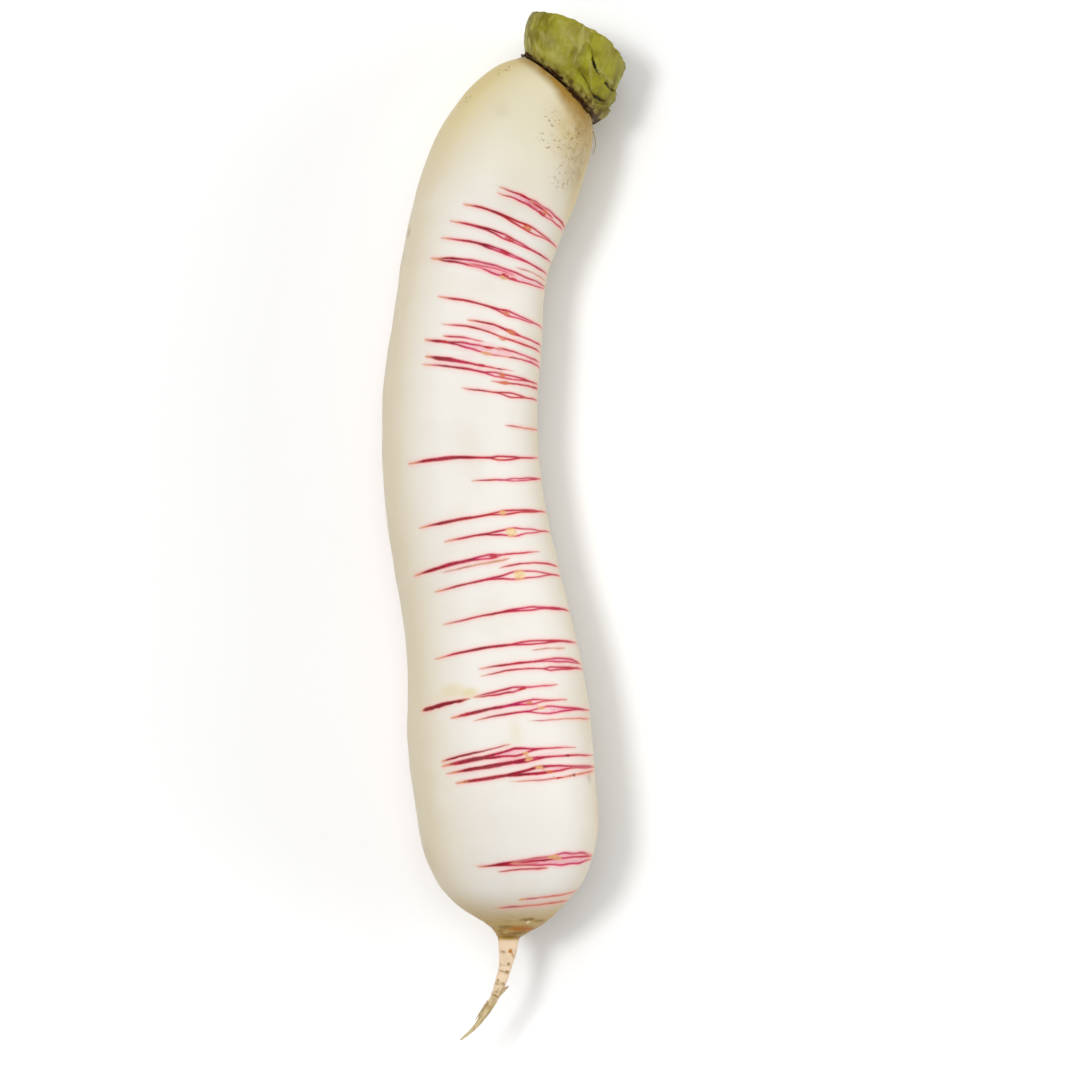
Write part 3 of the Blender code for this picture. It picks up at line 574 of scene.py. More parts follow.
def relief(points, s, phi, radii, layers, scar):
    """The skin's height over the plain surface in mm, and the depth of the wrinkles in it."""
    swell = sum(height * waves(points, size, seed) for height, size, seed in SWELLS)
    swell *= smooth(0, 14, s) * smooth(6, 22, radii)
    rings = np.zeros_like(swell)
    for at, wide, deep in TAIL_RINGS:
        wobble = at + 0.5 * np.sin(np.radians(phi) + at)
        rings += deep * np.exp(-(((s - wobble) / wide) ** 2))
    sink = np.zeros_like(swell)
    for field in layers:
        v, opening, thick, there = np.moveaxis(field["line"], -1, 0)
        off = np.abs(v) - opening
        strength = np.minimum(thick / 0.3, 1)
        inside = smooth(0.5, -0.2, off) * smooth(0.05, 0.3, opening)
        groove = np.exp(-((off / GROOVE_WIDTH) ** 2)) * strength
        rim = np.exp(-(((off - RIM_OFF) / RIM_WIDTH) ** 2)) * strength
        sink += there * (-OPENING_DEPTH * inside - GROOVE_DEPTH * groove + RIM_HEIGHT * rim)
    arc, across, _, there = np.moveaxis(scar, -1, 0)
    sink += there * SCAR_HEIGHT * np.exp(-(np.hypot(arc, across) ** 2))
    return swell + sink - rings, rings


def root_map(s, length):
    """The root on its map: two strips side by side, the upper half of the length and the lower."""
    half = int(np.searchsorted(s, length / 2))
    down = np.where(s < 0, s / 30, s)
    start, middle, end = down[0] - HUB_ROOM, down[half], length + HUB_ROOM
    inner = 1 - 2 * MAP_MARGIN
    spots = []

    def place(strip, *corners):
        low, high = (start, middle) if strip == 0 else (middle, end)
        for u, at in corners:
            share = (at - low) / (high - low)
            spots.append(((strip + MAP_MARGIN + u * inner) / 2, MAP_MARGIN + share * inner))

    sides = [(j / ROOT_SIDES, (j + 1) / ROOT_SIDES) for j in range(ROOT_SIDES)]
    for i in range(len(s) - 1):
        here, after = down[i], down[i + 1]
        for a, b in sides:
            place(0 if i < half else 1, (a, here), (b, here), (b, after), (a, after))
    for a, b in sides:
        place(0, (a, down[0]), ((a + b) / 2, start), (b, down[0]))
    for a, b in sides:
        place(1, (b, down[-1]), ((a + b) / 2, end), (a, down[-1]))
    return np.array(spots, np.float32)


def build_root():
    """The root's skin, with the splits sunk into it."""
    surface = Root()
    body = [np.arange(*row) for row in ROOT_RINGS]
    tail = np.arange(ROOT_RINGS[-1][1], surface.length, TAIL_STEP)
    s = np.concatenate((-np.array(DOME_RINGS), *body, tail, (surface.length,)))
    turns = (np.arange(ROOT_SIDES) + 0.5) * 2 * pi / ROOT_SIDES
    points, out, radius = surface.rings(s, turns)
    grid_s = np.repeat(s[:, None], ROOT_SIDES, 1)
    phi = np.repeat(np.degrees(turns)[None], len(s), 0)
    radii = np.repeat(radius[:, None], ROOT_SIDES, 1)
    layers, scar, scar_tone = split_fields(grid_s, phi, radii)

    lift, wrinkles = relief(points, grid_s, phi, radii, layers, scar)
    points = points + out * lift[..., None]
    points[..., 2] = np.maximum(points[..., 2], 0.0)

    tints = soft_marks(STAINS, grid_s, phi, radii, 1.25, 0.2)
    reach, depth = (np.interp((phi + 180) % 360 - 180, RIM_BAND[0], row) for row in RIM_BAND[1:])
    tints[..., 1] = np.maximum(tints[..., 1], depth * smooth(2.1 * reach, 0.1 * reach, grid_s))
    marks = []
    for channel, rows in enumerate((BLUSHES, RUST_MARKS, SMUDGES)):
        marks += [(*row[:4], channel, row[4]) for row in rows]
    blush = soft_marks(marks, grid_s, phi, radii, 1.3, 0.3)
    # Painted shade: the skin is painted darker and yellower away from the upper side, partly its own tone and
    # partly shade.
    flank_shade = 1 - np.cos(np.radians(phi - 12))  # 0 on the upper side, 2 below
    # Painted shade: the crown's rim and dome, where the stalks stand, are painted dark, partly dried brown.
    rim = smooth(0.9, -6, grid_s)
    zones = np.stack((
        smooth(60, 2, grid_s),  # shoulder
        smooth(0.03, 0.74, flank_shade),  # flanks and underside
        # neck to 0.9, tail at 1, tail's tip to 2
        0.9 * smooth(286.5, 302.5, grid_s) + 0.1 * smooth(306, 308.5, grid_s) + smooth(318, 338, grid_s),
        # the tail's wrinkles to 1, the crown's rim at 2, where dark brown with painted shade goes
        np.maximum(np.clip(wrinkles / 0.2, 0, 1) * smooth(298, 303, grid_s), 2 * rim),
    ), -1)

    count = len(s)
    hubs = [points[0].mean(0), points[-1].mean(0)]
    verts = np.concatenate((points.reshape(-1, 3), hubs)) * MM
    faces = ring_quads(count, ROOT_SIDES)
    sides = [(j, (j + 1) % ROOT_SIDES) for j in range(ROOT_SIDES)]
    last, hub = (count - 1) * ROOT_SIDES, count * ROOT_SIDES
    faces += [(j, hub, k) for j, k in sides]
    faces += [(last + k, hub + 1, last + j) for j, k in sides]
    made = new_mesh("daikon_root", verts, faces)
    made.data.uv_layers.new(name="OFBake").data.foreach_set("uv", root_map(s, surface.length).ravel())

    def with_hubs(values):
        flat = values.reshape(-1, 4)
        return np.concatenate((flat, flat[:1], flat[-1:]))

    for i, field in enumerate(layers):
        store(made, f"line{i}", with_hubs(field["line"]))
        store(made, f"tone{i}", with_hubs(field["tone"]))
    named = {"scar": scar, "scar_tone": scar_tone, "tints": tints, "blush": blush, "zones": zones}
    for name, values in named.items():
        store(made, name, with_hubs(values))
    return made


class Graph:
    """Builds a material's nodes; values are sockets or plain numbers."""

    def __init__(self, name):
        self.material = bpy.data.materials.new(name)
        self.material.use_nodes = True
        self.nodes = self.material.node_tree.nodes
        self.links = self.material.node_tree.links
        self.shader = self.nodes["Principled BSDF"]
        self.colour = None

    def put(self, socket, value):
        """Links a value to a socket, or sets the socket to a number or colour."""
        if isinstance(value, Value):
            self.links.new(value.socket, socket)
        elif isinstance(value, tuple) and len(value) == 3 and socket.type == "RGBA":
            socket.default_value = (*value, 1.0)
        else:
            socket.default_value = value

    def node(self, kind, inputs, **settings):
        """A new node's first output."""
        made = self.nodes.new(kind)
        for key, value in settings.items():
            setattr(made, key, value)
        for key, value in inputs.items():
            self.put(made.inputs[key], value)
        return Value(self, made.outputs[0])

    def math(self, what, *values):
        return self.node("ShaderNodeMath", dict(enumerate(values)), operation=what)

    def join(self, *parts):
        return self.node("ShaderNodeCombineXYZ", dict(enumerate(parts)))

    def step(self, low, high, value):
        """0 at low, 1 at high, smooth between; low may be above high."""
        inputs = {"Value": value, "From Min": low, "From Max": high}
        return self.node("ShaderNodeMapRange", inputs, interpolation_type="SMOOTHSTEP")

    def mix(self, share, a, b):
        """The colour a where share is 0, b where it is 1."""
        made = self.nodes.new("ShaderNodeMix")
        made.data_type = "RGBA"
        self.put(made.inputs["Factor"], share)
        colours = [i for i in made.inputs if i.type == "RGBA"]
        self.put(colours[0], a)
        self.put(colours[1], b)
        return Value(self, [o for o in made.outputs if o.type == "RGBA"][0])

    def place(self, stretch=(1, 1, 1)):
        """The piece's own coordinates in metres, stretched."""
        coords = self.nodes.new("ShaderNodeTexCoord").outputs["Object"]
        return self.node("ShaderNodeVectorMath", {0: Value(self, coords), 1: stretch}, operation="MULTIPLY")

    def noise(self, size, detail=2.0, rough=0.5, where=None):
        """Noise of about 0 to 1 with features of that size in mm."""
        inputs = {"Scale": 1000.0 / size, "Detail": detail, "Roughness": rough}
        inputs["Vector"] = where or self.place()
        return self.node("ShaderNodeTexNoise", inputs)

    def attribute(self, name):
        """The four numbers stored at the vertices, and the first three as a colour."""
        made = self.nodes.new("ShaderNodeAttribute")
        made.attribute_name = name
        parts = self.node("ShaderNodeSeparateXYZ", {0: Value(self, made.outputs["Vector"])})
        sockets = [*parts.socket.node.outputs, made.outputs["Alpha"]]
        return [Value(self, socket) for socket in sockets], Value(self, made.outputs["Color"])

    def lay(self, share, colour):
        """Lays a colour over the one so far."""
        self.colour = self.mix(share, self.colour, colour)

    def bump(self, height, distance, strength):
        inputs = {"Height": height, "Distance": distance, "Strength": strength}
        self.put(self.shader.inputs["Normal"], self.node("ShaderNodeBump", inputs))

    def finish(self, roughness, **constants):
        """The material in the colour so far."""
        self.put(self.shader.inputs["Base Color"], self.colour)
        self.put(self.shader.inputs["Roughness"], roughness)
        for key, value in constants.items():
            self.shader.inputs[key.replace("_", " ")].default_value = value
        return self.material


class Value:
    """A node's output that arithmetic can be done on."""

    def __init__(self, graph, socket):
        self.graph, self.socket = graph, socket

    def __add__(self, other):
        return self.graph.math("ADD", self, other)

    def __sub__(self, other):
        return self.graph.math("SUBTRACT", self, other)

    def __rsub__(self, other):
        return self.graph.math("SUBTRACT", other, self)

    def __mul__(self, other):
        return self.graph.math("MULTIPLY", self, other)

    __radd__, __rmul__ = __add__, __mul__

    def abs(self):
        return self.graph.math("ABSOLUTE", self)


# Colours of the upper side, then darker copies for the flanks and underside: their own yellower tone with
# painted shade.
SKIN_TOP = (0.725, 0.692, 0.64)
SKIN_FLANK_TONE_AND_SHADE = (0.582, 0.508, 0.372)
SHOULDER_TOP = (0.59, 0.535, 0.355)
SHOULDER_FLANK_TONE_AND_SHADE = (0.545, 0.44, 0.18)
NECK_TAN = (0.4, 0.25, 0.038)
TAIL_PALE = (0.715, 0.55, 0.38)
TAIL_TIP = (0.53, 0.43, 0.235)
STAIN_GREEN = (0.53, 0.42, 0.19)
STAIN_ORANGE = (0.29, 0.168, 0.024)
STAIN_OLIVE = (0.22, 0.126, 0.012)
SPECK = (0.17, 0.098, 0.026)
TAIL_LINE = (0.24, 0.12, 0.028)
TAIL_STREAK = (0.33, 0.22, 0.085)
STAIN_RUST = (0.37, 0.128, 0.006)
RIM_BROWN_AND_SHADE = (0.045, 0.018, 0.006)
PINK = (0.72, 0.27, 0.37)
PALE_PINK = (0.7, 0.4, 0.44)
DEEP_PINK = (0.46, 0.06, 0.11)
DEEP_CORE = (0.165, 0.000, 0.008)
HALO = (0.79, 0.35, 0.33)
LIP_EDGE = (0.68, 0.11, 0.15)
SMUDGE = (0.62, 0.5, 0.21)
SCAR_SHADE = (0.38, 0.15, 0.06)


def skin():
    """The root's skin: ground colours, stains, splits layer by layer, then scars."""
    g = Graph("daikon_skin")
    (shoulder, flank_shade, tail, wrinkle), _ = g.attribute("zones")
    (green, orange, olive, speck), _ = g.attribute("tints")
    broad = g.noise(26, 3)
    fine = g.noise(3.2, 3, 0.6)
    pores = g.noise(0.9, 2)
    # Painted shade: the flanks and underside take the darker flank colours, partly the skin's own tone.
    side = flank_shade * g.step(-0.1, 0.5, broad)
    g.colour = g.mix(side, SKIN_TOP, SKIN_FLANK_TONE_AND_SHADE)
    g.lay(g.step(0.50, 0.72, broad) * 0.22, SKIN_FLANK_TONE_AND_SHADE)
    g.lay(shoulder * 0.9, g.mix(side, SHOULDER_TOP, SHOULDER_FLANK_TONE_AND_SHADE))
    g.lay(g.math("MINIMUM", tail, 1.0), g.mix(g.step(0.92, 1.0, tail), NECK_TAN, TAIL_PALE))
    g.lay(g.step(1.0, 1.9, tail + (fine - 0.5) * 0.9), TAIL_TIP)
    grain = g.noise(1.1, 3, 0.6, where=g.place((1, 0.35, 1)))
    g.lay(g.step(1.02, 1.5, tail) * g.step(0.50, 0.64, grain) * 0.55, TAIL_STREAK)
    g.lay(g.step(0.5, 0.85, tail) * g.step(0.55, 0.70, fine) * 0.25, TAIL_STREAK)
    g.lay(green * (0.4 + 0.6 * g.step(0.2, 0.7, fine)), STAIN_GREEN)
    g.lay(orange * (0.78 + 0.22 * g.step(0.3, 0.65, fine)), STAIN_ORANGE)
    g.lay(olive * (0.55 + 0.45 * g.step(0.36, 0.66, fine)), STAIN_OLIVE)
    dots = g.step(0.59, 0.66, g.noise(1.25, 2, 0.4))
    g.lay(speck * dots * 0.85, SPECK)
    line = g.math("MINIMUM", wrinkle, 1.0) * g.step(0.38, 0.62, fine)
    g.lay(line * 0.8, TAIL_LINE)
    # Painted shade: dark brown at the crown's rim, over the crevice under the stalks.
    g.lay(g.step(1.0, 1.6, wrinkle + (fine - 0.5) * 1.2), RIM_BROWN_AND_SHADE)

    wobble = (g.noise(1.6, 2) - 0.5) * 0.18
    streak = g.noise(0.7, 2, 0.5, where=g.place((0.22, 1, 1)))
    breaks = g.noise(1.0, 2, 0.6)
    (blush, rust, smudge, _), _ = g.attribute("blush")
    g.lay(smudge * 0.75, SMUDGE)
    g.lay(blush * 0.45, PINK)
    g.lay(rust * g.step(0.20, 0.52, breaks), STAIN_RUST)
    height = fine * 0.5 + pores * 0.25
    for i in range(LAYERS):
        (v, opening, thick, there), _ = g.attribute(f"line{i}")
        (_, green, _, pink), lips = g.attribute(f"tone{i}")
        across = (v + wobble).abs()
        off = (across - opening).abs()
        inside = g.step(0.10, -0.20, across - opening) * g.step(0.05, 0.25, opening) * there
        glow = g.step(thick + 2.1, thick * 0.5, off) * g.step(0.02, 0.25, thick) * there
        halo = g.step(thick + 0.85, thick * 0.3, off) * g.step(0.02, 0.25, thick) * there
        lip = g.step(thick + 0.40, thick - 0.36, off) * g.step(0.02, 0.12, thick) * there
        g.lay(glow * 0.26, HALO)
        g.lay(halo * 0.42, HALO)
        filled = g.mix(g.step(0.38, 0.60, breaks), PINK, PALE_PINK)
        filled = g.mix(g.step(1.2, 1.9, pink), filled, DEEP_PINK)
        g.lay(inside * g.math("MINIMUM", pink * 0.9, 0.9), filled)
        core = g.step(thick * 1.15, thick * 0.35, off + (streak - 0.5) * 0.6)
        tone = g.mix(0.75 * (1.0 - core) * g.step(0.20, 0.04, green), lips, LIP_EDGE)
        deep = 0.22 + 0.62 * g.step(0.34, 0.58, thick)
        tone = g.mix(core * g.step(0.36, 0.60, breaks) * deep, tone, DEEP_CORE)
        g.lay(lip * 0.985, tone)
        height = height - lip * 0.6
    (arc, across, _, there), _ = g.attribute("scar")
    _, paint = g.attribute("scar_tone")
    far = g.math("SQRT", arc * arc + across * across)
    ragged = far + (g.noise(1.1, 2) - 0.5) * 0.8
    mark = g.step(1.45, 0.70, ragged) * there
    paint = g.mix(g.step(0.42, 0.64, streak) * 0.28, paint, SCAR_SHADE)
    g.lay(mark * (0.66 + 0.28 * g.step(0.35, 0.60, breaks)), paint)
    g.bump(height, 0.00012, 0.5)
    return g.finish(0.42 + fine * 0.12, Specular_IOR_Level=0.2)


def crown_height(radius):
    """Height in mm of the stalks' foot above the rim, by distance from the axis."""
    rim = ROOT_SECTIONS[0][5]
    dome = GAP + CROWN_DOME * np.sqrt(np.maximum(1 - (radius / rim) ** 2, 0))
    return np.where(radius >= rim, GAP - CROWN_SLOPE * (radius - rim), dome)


def cut_level(sideways):
    """Level of the knife's cut by mm to the right of the axis."""
    offset = sideways - CUT_PEAK
    reach = np.where(offset > 0, offset / CUT_RIGHT, -offset / CUT_LEFT)
    return 1 + CUT_RISE * (1 - np.minimum(1, reach) ** 2.5)


def bundle_points(angle, radius, level):
    """Points of the bundle: angle round it, distance from its axis and level."""
    base, cut = np.array(BUNDLE_BASE), np.array(BUNDLE_CUT)
    _, right, up = axes(mix(*BUNDLE_YAW, level), BUNDLE_PITCH)
    out = np.sin(angle)[..., None] * right + np.cos(angle)[..., None] * up
    return base + (cut - base) * level[..., None] + radius[..., None] * out


# The visible pieces at the front follow curves: their margins as level and angle, their tops as
# angle and level, their distance from the axis as angle and share.
SHAPES = {
    "leaf_stalk_front_left": {
        "end": ((0, 11), (0.7, 11), (0.8, 10), (0.88, 7.6), (0.95, 5.6), (1.15, 2.6)),
    },
    "leaf_stalk_front_right": {
        "start": ((0, 33), (0.54, 33), (0.6, 29), (0.68, 20), (0.77, 12.5), (0.88, 6), (0.95, 3.9),
                  (1.15, 0.9)),
    },
    "old_leaf_base_front_right": {
        "start": ((0, 4), (1.1, 4)),
        "top": ((4, 0.86), (9, 0.9), (13, 0.84), (19, 0.745), (24, 0.66), (32, 0.585), (38, 0.59),
                (46, 0.56),
                (58, 0.54), (70, 0.56), (92, 0.5)),
        "share": ((4, 0.96), (12, 1.02), (45, 1.05), (70, 1.08), (92, 1.11)),
    },
    "old_leaf_base_front": {
        "top": ((4, 0.34), (10, 0.4), (17, 0.365), (28, 0.3), (43, 0.22), (53, 0.13)),
        "share": ((4, 1.06), (20, 1.12), (53, 1.16)),
    },
    "old_leaf_base_right": {
        "start": ((0, 48), (1, 50)),
        "top": ((48, 0.17), (55, 0.22), (66, 0.3), (80, 0.3), (98, 0.2)),
        "share": ((48, 1.14), (70, 1.19), (98, 1.21)),
    },
    "dry_scale_front_left": {
        "top": ((-51, 0.06), (-44, 0.09), (-38, 0.06), (-30, 0.1), (-24, 0.08), (-14, 0.12), (-8, 0.09),
                (-1, 0.12)),
    },
    "dry_scale_front": {
        "top": ((6, 0.03), (14, 0.055), (22, 0.035), (32, 0.06), (41, 0.035), (50, 0.03)),
        "share": ((6, 1.17), (50, 1.23)),
    },
    "dry_scale_left": {"top": ((-111, 0.07), (-92, 0.1), (-80, 0.07), (-66, 0.12), (-54, 0.09))},
}

# Strokes on the stalks: two points as angle and level, half width in mm, channel and strength.
# Channels: 0 pale rib, 1 dark slit painted near black as shade, 2 brown, 3 bright yellow-green.
STALK_MARKS = {
    "leaf_stalk_front_left": (
        (-28, 0.92, 2, 0.7, 0.3, 1, 0.45), (-24, 0.9, 3, 0.72, 0.8, 0, 0.5),
        (-14, 1.02, -4, 0.86, 2.2, 2, 0.35), (0, 1.12, 5, 0.66, 1.0, 0, 0.6),
        (-24, 1.0, -6, 0.8, 2.6, 0, 0.25), (4, 0.66, 6, 0.4, 0.7, 0, 0.4),
        (7.5, 0.8, 7.5, 0.1, 0.45, 1, 0.6), (-66, 0.42, -60, 0.16, 0.6, 0, 0.8),
        (-52, 0.4, -45, 0.24, 0.5, 0, 0.7), (-80, 0.95, -70, 0.2, 0.7, 0, 0.6),
        (-84, 1.0, -56, 1.06, 1.6, 2, 0.9), (-64, 1.04, -60, 0.85, 0.8, 2, 0.5),
        (-40, 0.55, -20, 0.5, 3.2, 0, 0.35), (-60, 0.7, -40, 0.75, 2.2, 3, 0.4),
        (-30, 0.3, -5, 0.35, 2.2, 0, 0.35), (-60, 0.2, -20, 0.12, 1.2, 2, 0.5),
        (-20, 0.12, 5, 0.14, 1.2, 2, 0.5),
    ),
    "leaf_stalk_front_right": (
        (3, 1.12, 13, 0.8, 0.6, 0, 0.4), (31, 0.63, 46, 0.6, 0.8, 0, 0.6),
        (46, 0.6, 66, 0.63, 0.6, 0, 0.5), (30, 1.04, 40, 0.86, 2.6, 2, 0.35),
        (52, 0.95, 60, 0.8, 2.0, 2, 0.25), (72, 0.92, 78, 0.62, 2.2, 3, 0.8),
        (40, 0.86, 54, 0.66, 2.4, 3, 0.6), (14, 1.08, 22, 0.95, 1.8, 3, 0.5),
        (24, 0.92, 44, 1.02, 2.4, 2, 0.25), (86, 0.7, 94, 0.6, 1.0, 0, 0.5),
    ),
    "old_leaf_base_front_right": (
        (14, 0.72, 36, 0.3, 0.5, 0, 0.35), (12, 0.8, 20, 0.5, 2.4, 3, 0.7),
        (48, 0.42, 76, 0.3, 2.2, 2, 0.45), (84, 0.5, 92, 0.2, 1.0, 2, 0.8),
        (24, 0.52, 42, 0.34, 1.4, 3, 0.5), (50, 0.5, 66, 0.42, 1.2, 3, 0.6),
        (20, 0.7, 31, 0.58, 0.5, 1, 1.0), (46, 0.53, 68, 0.545, 0.6, 1, 1.0),
        (40, 0.24, 66, 0.32, 0.7, 1, 0.8),
    ),
    "old_leaf_base_front": (
        (12, 0.32, 32, 0.2, 1.6, 3, 0.7), (20, 0.26, 36, 0.17, 0.5, 0, 0.4),
        (46, 0.1, 52, 0.0, 0.8, 2, 0.9), (15, 0.385, 44, 0.225, 0.45, 1, 1.0),
        (6, 0.3, 8, 0.1, 0.8, 2, 0.6),
    ),
    "old_leaf_base_right": (
        (56, 0.12, 66, 0.04, 0.9, 0, 0.6), (90, 0.2, 97, 0.05, 0.9, 2, 0.9),
        (50, 0.19, 66, 0.31, 0.4, 1, 0.7),
    ),
}
# How ragged the tops are as a share of the height, and their waves as radians a degree.
RAGGED = {"leaf": 0.014, "inner": 0.02, "heart": 0.04, "old": 0.07, "dry": 0.12}
TORN_TEETH = (0.21, 0.47, 0.9, 1.7)
CUT_TEETH = (0.07, 0.13, 0.29, 0.5)
# Creases in mm: their depth on scales, on stalks and more on the right side, then their size.
DRY_CRUMPLE, CRUMPLE, RIGHT_CRUMPLE, CREASE_SIZE = 0.25, 0.09, 0.22, 2.6


def strokes(rows, x, y, length):
    """Four channels of soft strokes at points in mm round the bundle and up it."""
    out = np.zeros(x.shape + (4,))
    for a0, l0, a1, l1, wide, channel, strength in rows:
        ax, ay = radians(a0) * FLAT_RADIUS, l0 * length
        bx, by = radians(a1) * FLAT_RADIUS, l1 * length
        t = ((x - ax) * (bx - ax) + (y - ay) * (by - ay)) / ((bx - ax) ** 2 + (by - ay) ** 2)
        t = np.clip(t, 0, 1)
        far = np.hypot(x - mix(ax, bx, t), y - mix(ay, by, t))
        thin = wide * (0.35 + 0.65 * np.sin(pi * np.clip(t, 0.02, 0.98)))
        soft = (1.5, 0.5) if channel == 1 else (2.0, 0.0)
        out[..., channel] = np.maximum(out[..., channel], strength * smooth(*soft, far / thin))
    return out


def stalk_faces(columns, rings):
    """Sides, foot and top of a stalk whose rings run out along its outside and back inside it."""
    around = 2 * columns
    faces = ring_quads(rings, around, inverse=True)
    top = (rings - 1) * around
    for a in range(columns - 1):
        b = around - 1 - a
        faces.append((a, a + 1, b - 1, b))
        faces.append((top + a, top + b, top + b - 1, top + a + 1))
    return faces


def stalk(name, sizes, columns, rings, look, slot):
    """A crescent of stalk standing on the crown, ribbed along its outside."""
    start, end, share, thickness, top_start, top_end = sizes
    shape = SHAPES.get(name, {})
    length = np.linalg.norm(np.array(BUNDLE_CUT) - np.array(BUNDLE_BASE))
    across = np.linspace(0.0, 1.0, columns)
    bow = np.sqrt(1 - (2 * across - 1) ** 2)
    edge = 0.14 * thickness * (1 - bow)
    inner = edge + thickness * (0.25 + 0.75 * bow)
    outline_at = np.concatenate((across, across[::-1]))[None]
    inward = np.concatenate((edge, inner[::-1]))[None]
    outside = np.concatenate((np.ones(columns), np.zeros(columns)))[None]
    bows = np.concatenate((bow, bow[::-1]))[None]
    rng = np.random.default_rng(sum(map(ord, name)))
    k = np.linspace(0, 1, rings)[:, None]
    starts = np.interp(k * 1.1, *zip(*shape["start"])) if "start" in shape else start
    ends = np.interp(k * 1.1, *zip(*shape["end"])) if "end" in shape else end
    degrees = mix(starts, ends, outline_at) + 0 * k
    angle = np.radians(degrees)
    if "share" in shape:
        share = np.interp(degrees, *zip(*shape["share"]))
    low = crown_height(share * BUNDLE_RADIUS[0] - inward) / length
    if "top" in shape:
        high = np.interp(degrees, *zip(*shape["top"]))
    else:
        high = cut_level(np.sin(angle) * (share * BUNDLE_RADIUS[1] - inward))
        high = high * mix(top_start, top_end, outline_at)
    teeth = TORN_TEETH if slot in ("old_leaf_base", "dry_scale") else CUT_TEETH
    ragged = sum(np.sin(degrees * f + rng.uniform(0, 6)) for f in teeth) / 3
    high = high + RAGGED[name.split("_")[0]] * ragged * (high - low)
    level = low + (high - low) * k
    swell = BUNDLE_BULGE * 4 * level * (1 - level)
    radius = share * (mix(*BUNDLE_RADIUS, level) + swell) - inward
    ribs = sum(np.sin(degrees * f + rng.uniform(0, 6)) for f in (0.35, 0.8, 1.7)) / 3
    ribs = 0.16 * ribs * outside * bows
    flat_x = angle * FLAT_RADIUS
    flat_y = level * length
    marks = strokes(STALK_MARKS.get(name, ()), flat_x, flat_y, length) * outside[..., None]
    relief = 0.20 * marks[..., 0] - 0.6 * marks[..., 1]
    points = bundle_points(angle, radius + ribs * smooth(0.0, 0.3, level) + relief, level)
    withered = smooth(66, 92, degrees) * smooth(130, 100, degrees)  # the right side is more creased
    crumple = DRY_CRUMPLE + 0 * level if slot == "dry_scale" else CRUMPLE + RIGHT_CRUMPLE * withered
    creases = np.stack([waves(points, CREASE_SIZE, seed, 8) for seed in (11, 12, 13)], -1)
    points = points + crumple[..., None] * creases
    verts = list(points.reshape(-1, 3) * MM)
    made = new_mesh(name + "_skin", verts, stalk_faces(columns, rings), sharp=40)
    store(made, "grain", np.stack((flat_x, flat_y, inward + 0 * level, level), -1))
    store(made, "marks", marks)
    made.data.materials.append(look)
    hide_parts(name)
    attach(made, "root")


GREEN = (0.258, 0.238, 0.016)
PALE_GREEN = (0.385, 0.365, 0.085)
DEEP_GREEN = (0.15, 0.122, 0.003)
BRIGHT_GREEN = (0.275, 0.285, 0.009)
RIB_PALE = (0.385, 0.36, 0.12)
SLIT_SHADE = (0.02, 0.012, 0.002)
STALK_BROWN = (0.15, 0.1, 0.015)
BASE_BROWN_AND_SHADE = (0.06, 0.03, 0.006)
CRUMPLE_OLIVE = (0.13, 0.09, 0.012)
CRUMPLE_TAN = (0.3, 0.235, 0.07)
HEART = (0.33, 0.37, 0.09)
HEART_PALE = (0.48, 0.52, 0.22)
OLD_GREEN = (0.25, 0.23, 0.012)
OLD_PALE = (0.33, 0.3, 0.07)
OLD_DEEP = (0.14, 0.108, 0.005)
DRY_TAN = (0.17, 0.11, 0.03)
DRY_DARK = (0.026, 0.009, 0.002)
HAIR_LIGHT = (0.56, 0.44, 0.24)
HAIR_DARK = (0.33, 0.23, 0.105)


def stalk_look(name, main, pale, deep, brown):
    """Fleshy stalk in three greens; brown is the strength of its foot's dried colour and of the painted shade
    along the foot and between its folds.
    """
    g = Graph(name)
    (x, y, depth, level), _ = g.attribute("grain")
    (rib, slit_shade, stain, bright), _ = g.attribute("marks")
    along = g.join(x * 0.001, y * 0.00030, depth * 0.001)
    streak = g.noise(1.3, 3, 0.6, where=along)
    blotch = g.noise(4.5, 3, 0.55)
    cloud = g.noise(8, 2)
    g.colour = g.mix(g.step(0.35, 0.65, cloud), deep, main)
    g.lay(g.step(0.48, 0.72, blotch) * 0.55, pale)
    g.lay(g.step(0.52, 0.78, streak) * 0.45, pale)
    g.lay(g.step(0.46, 0.28, streak) * 0.35, deep)
    g.lay(bright * g.step(0.2, 0.6, blotch), BRIGHT_GREEN)
    g.lay(rib * g.step(0.15, 0.5, streak), RIB_PALE)
    g.lay(stain * g.step(0.35, 0.6, blotch), STALK_BROWN)
    veins = g.noise(0.7, 3, 0.6, where=along)
    g.lay(g.step(0.56, 0.70, veins) * 0.30, deep)
    # Low on the stalk: dried olive and tan, the tan partly painted highlight on the folds, with painted shade
    # in the gaps between them.
    folds = g.noise(2.0, 3, 0.55, where=g.join(x * 0.00075, y * 0.001, depth * 0.001))
    crumpled = g.step(0.26, 0.10, level + (blotch - 0.5) * 0.20) * brown
    g.lay(crumpled * 0.75, g.mix(g.step(0.44, 0.58, folds), CRUMPLE_OLIVE, CRUMPLE_TAN))
    g.lay(crumpled * g.step(0.48, 0.38, folds) * 0.85, BASE_BROWN_AND_SHADE)
    # Painted shade: a dark band along the foot where it meets the crown, partly dried brown.
    base = g.step(0.125, 0.065, level + (folds - 0.5) * 0.10)
    g.lay(base * brown, BASE_BROWN_AND_SHADE)
    # Painted shade: near black in the slits between pieces, which are also sunk into the surface.
    g.lay(g.step(0.4, 0.9, slit_shade), SLIT_SHADE)
    g.bump(streak * 0.6 + blotch * 0.4, 0.0004, 0.6)
    return g.finish(0.42 + blotch * 0.12, Specular_IOR_Level=0.15)


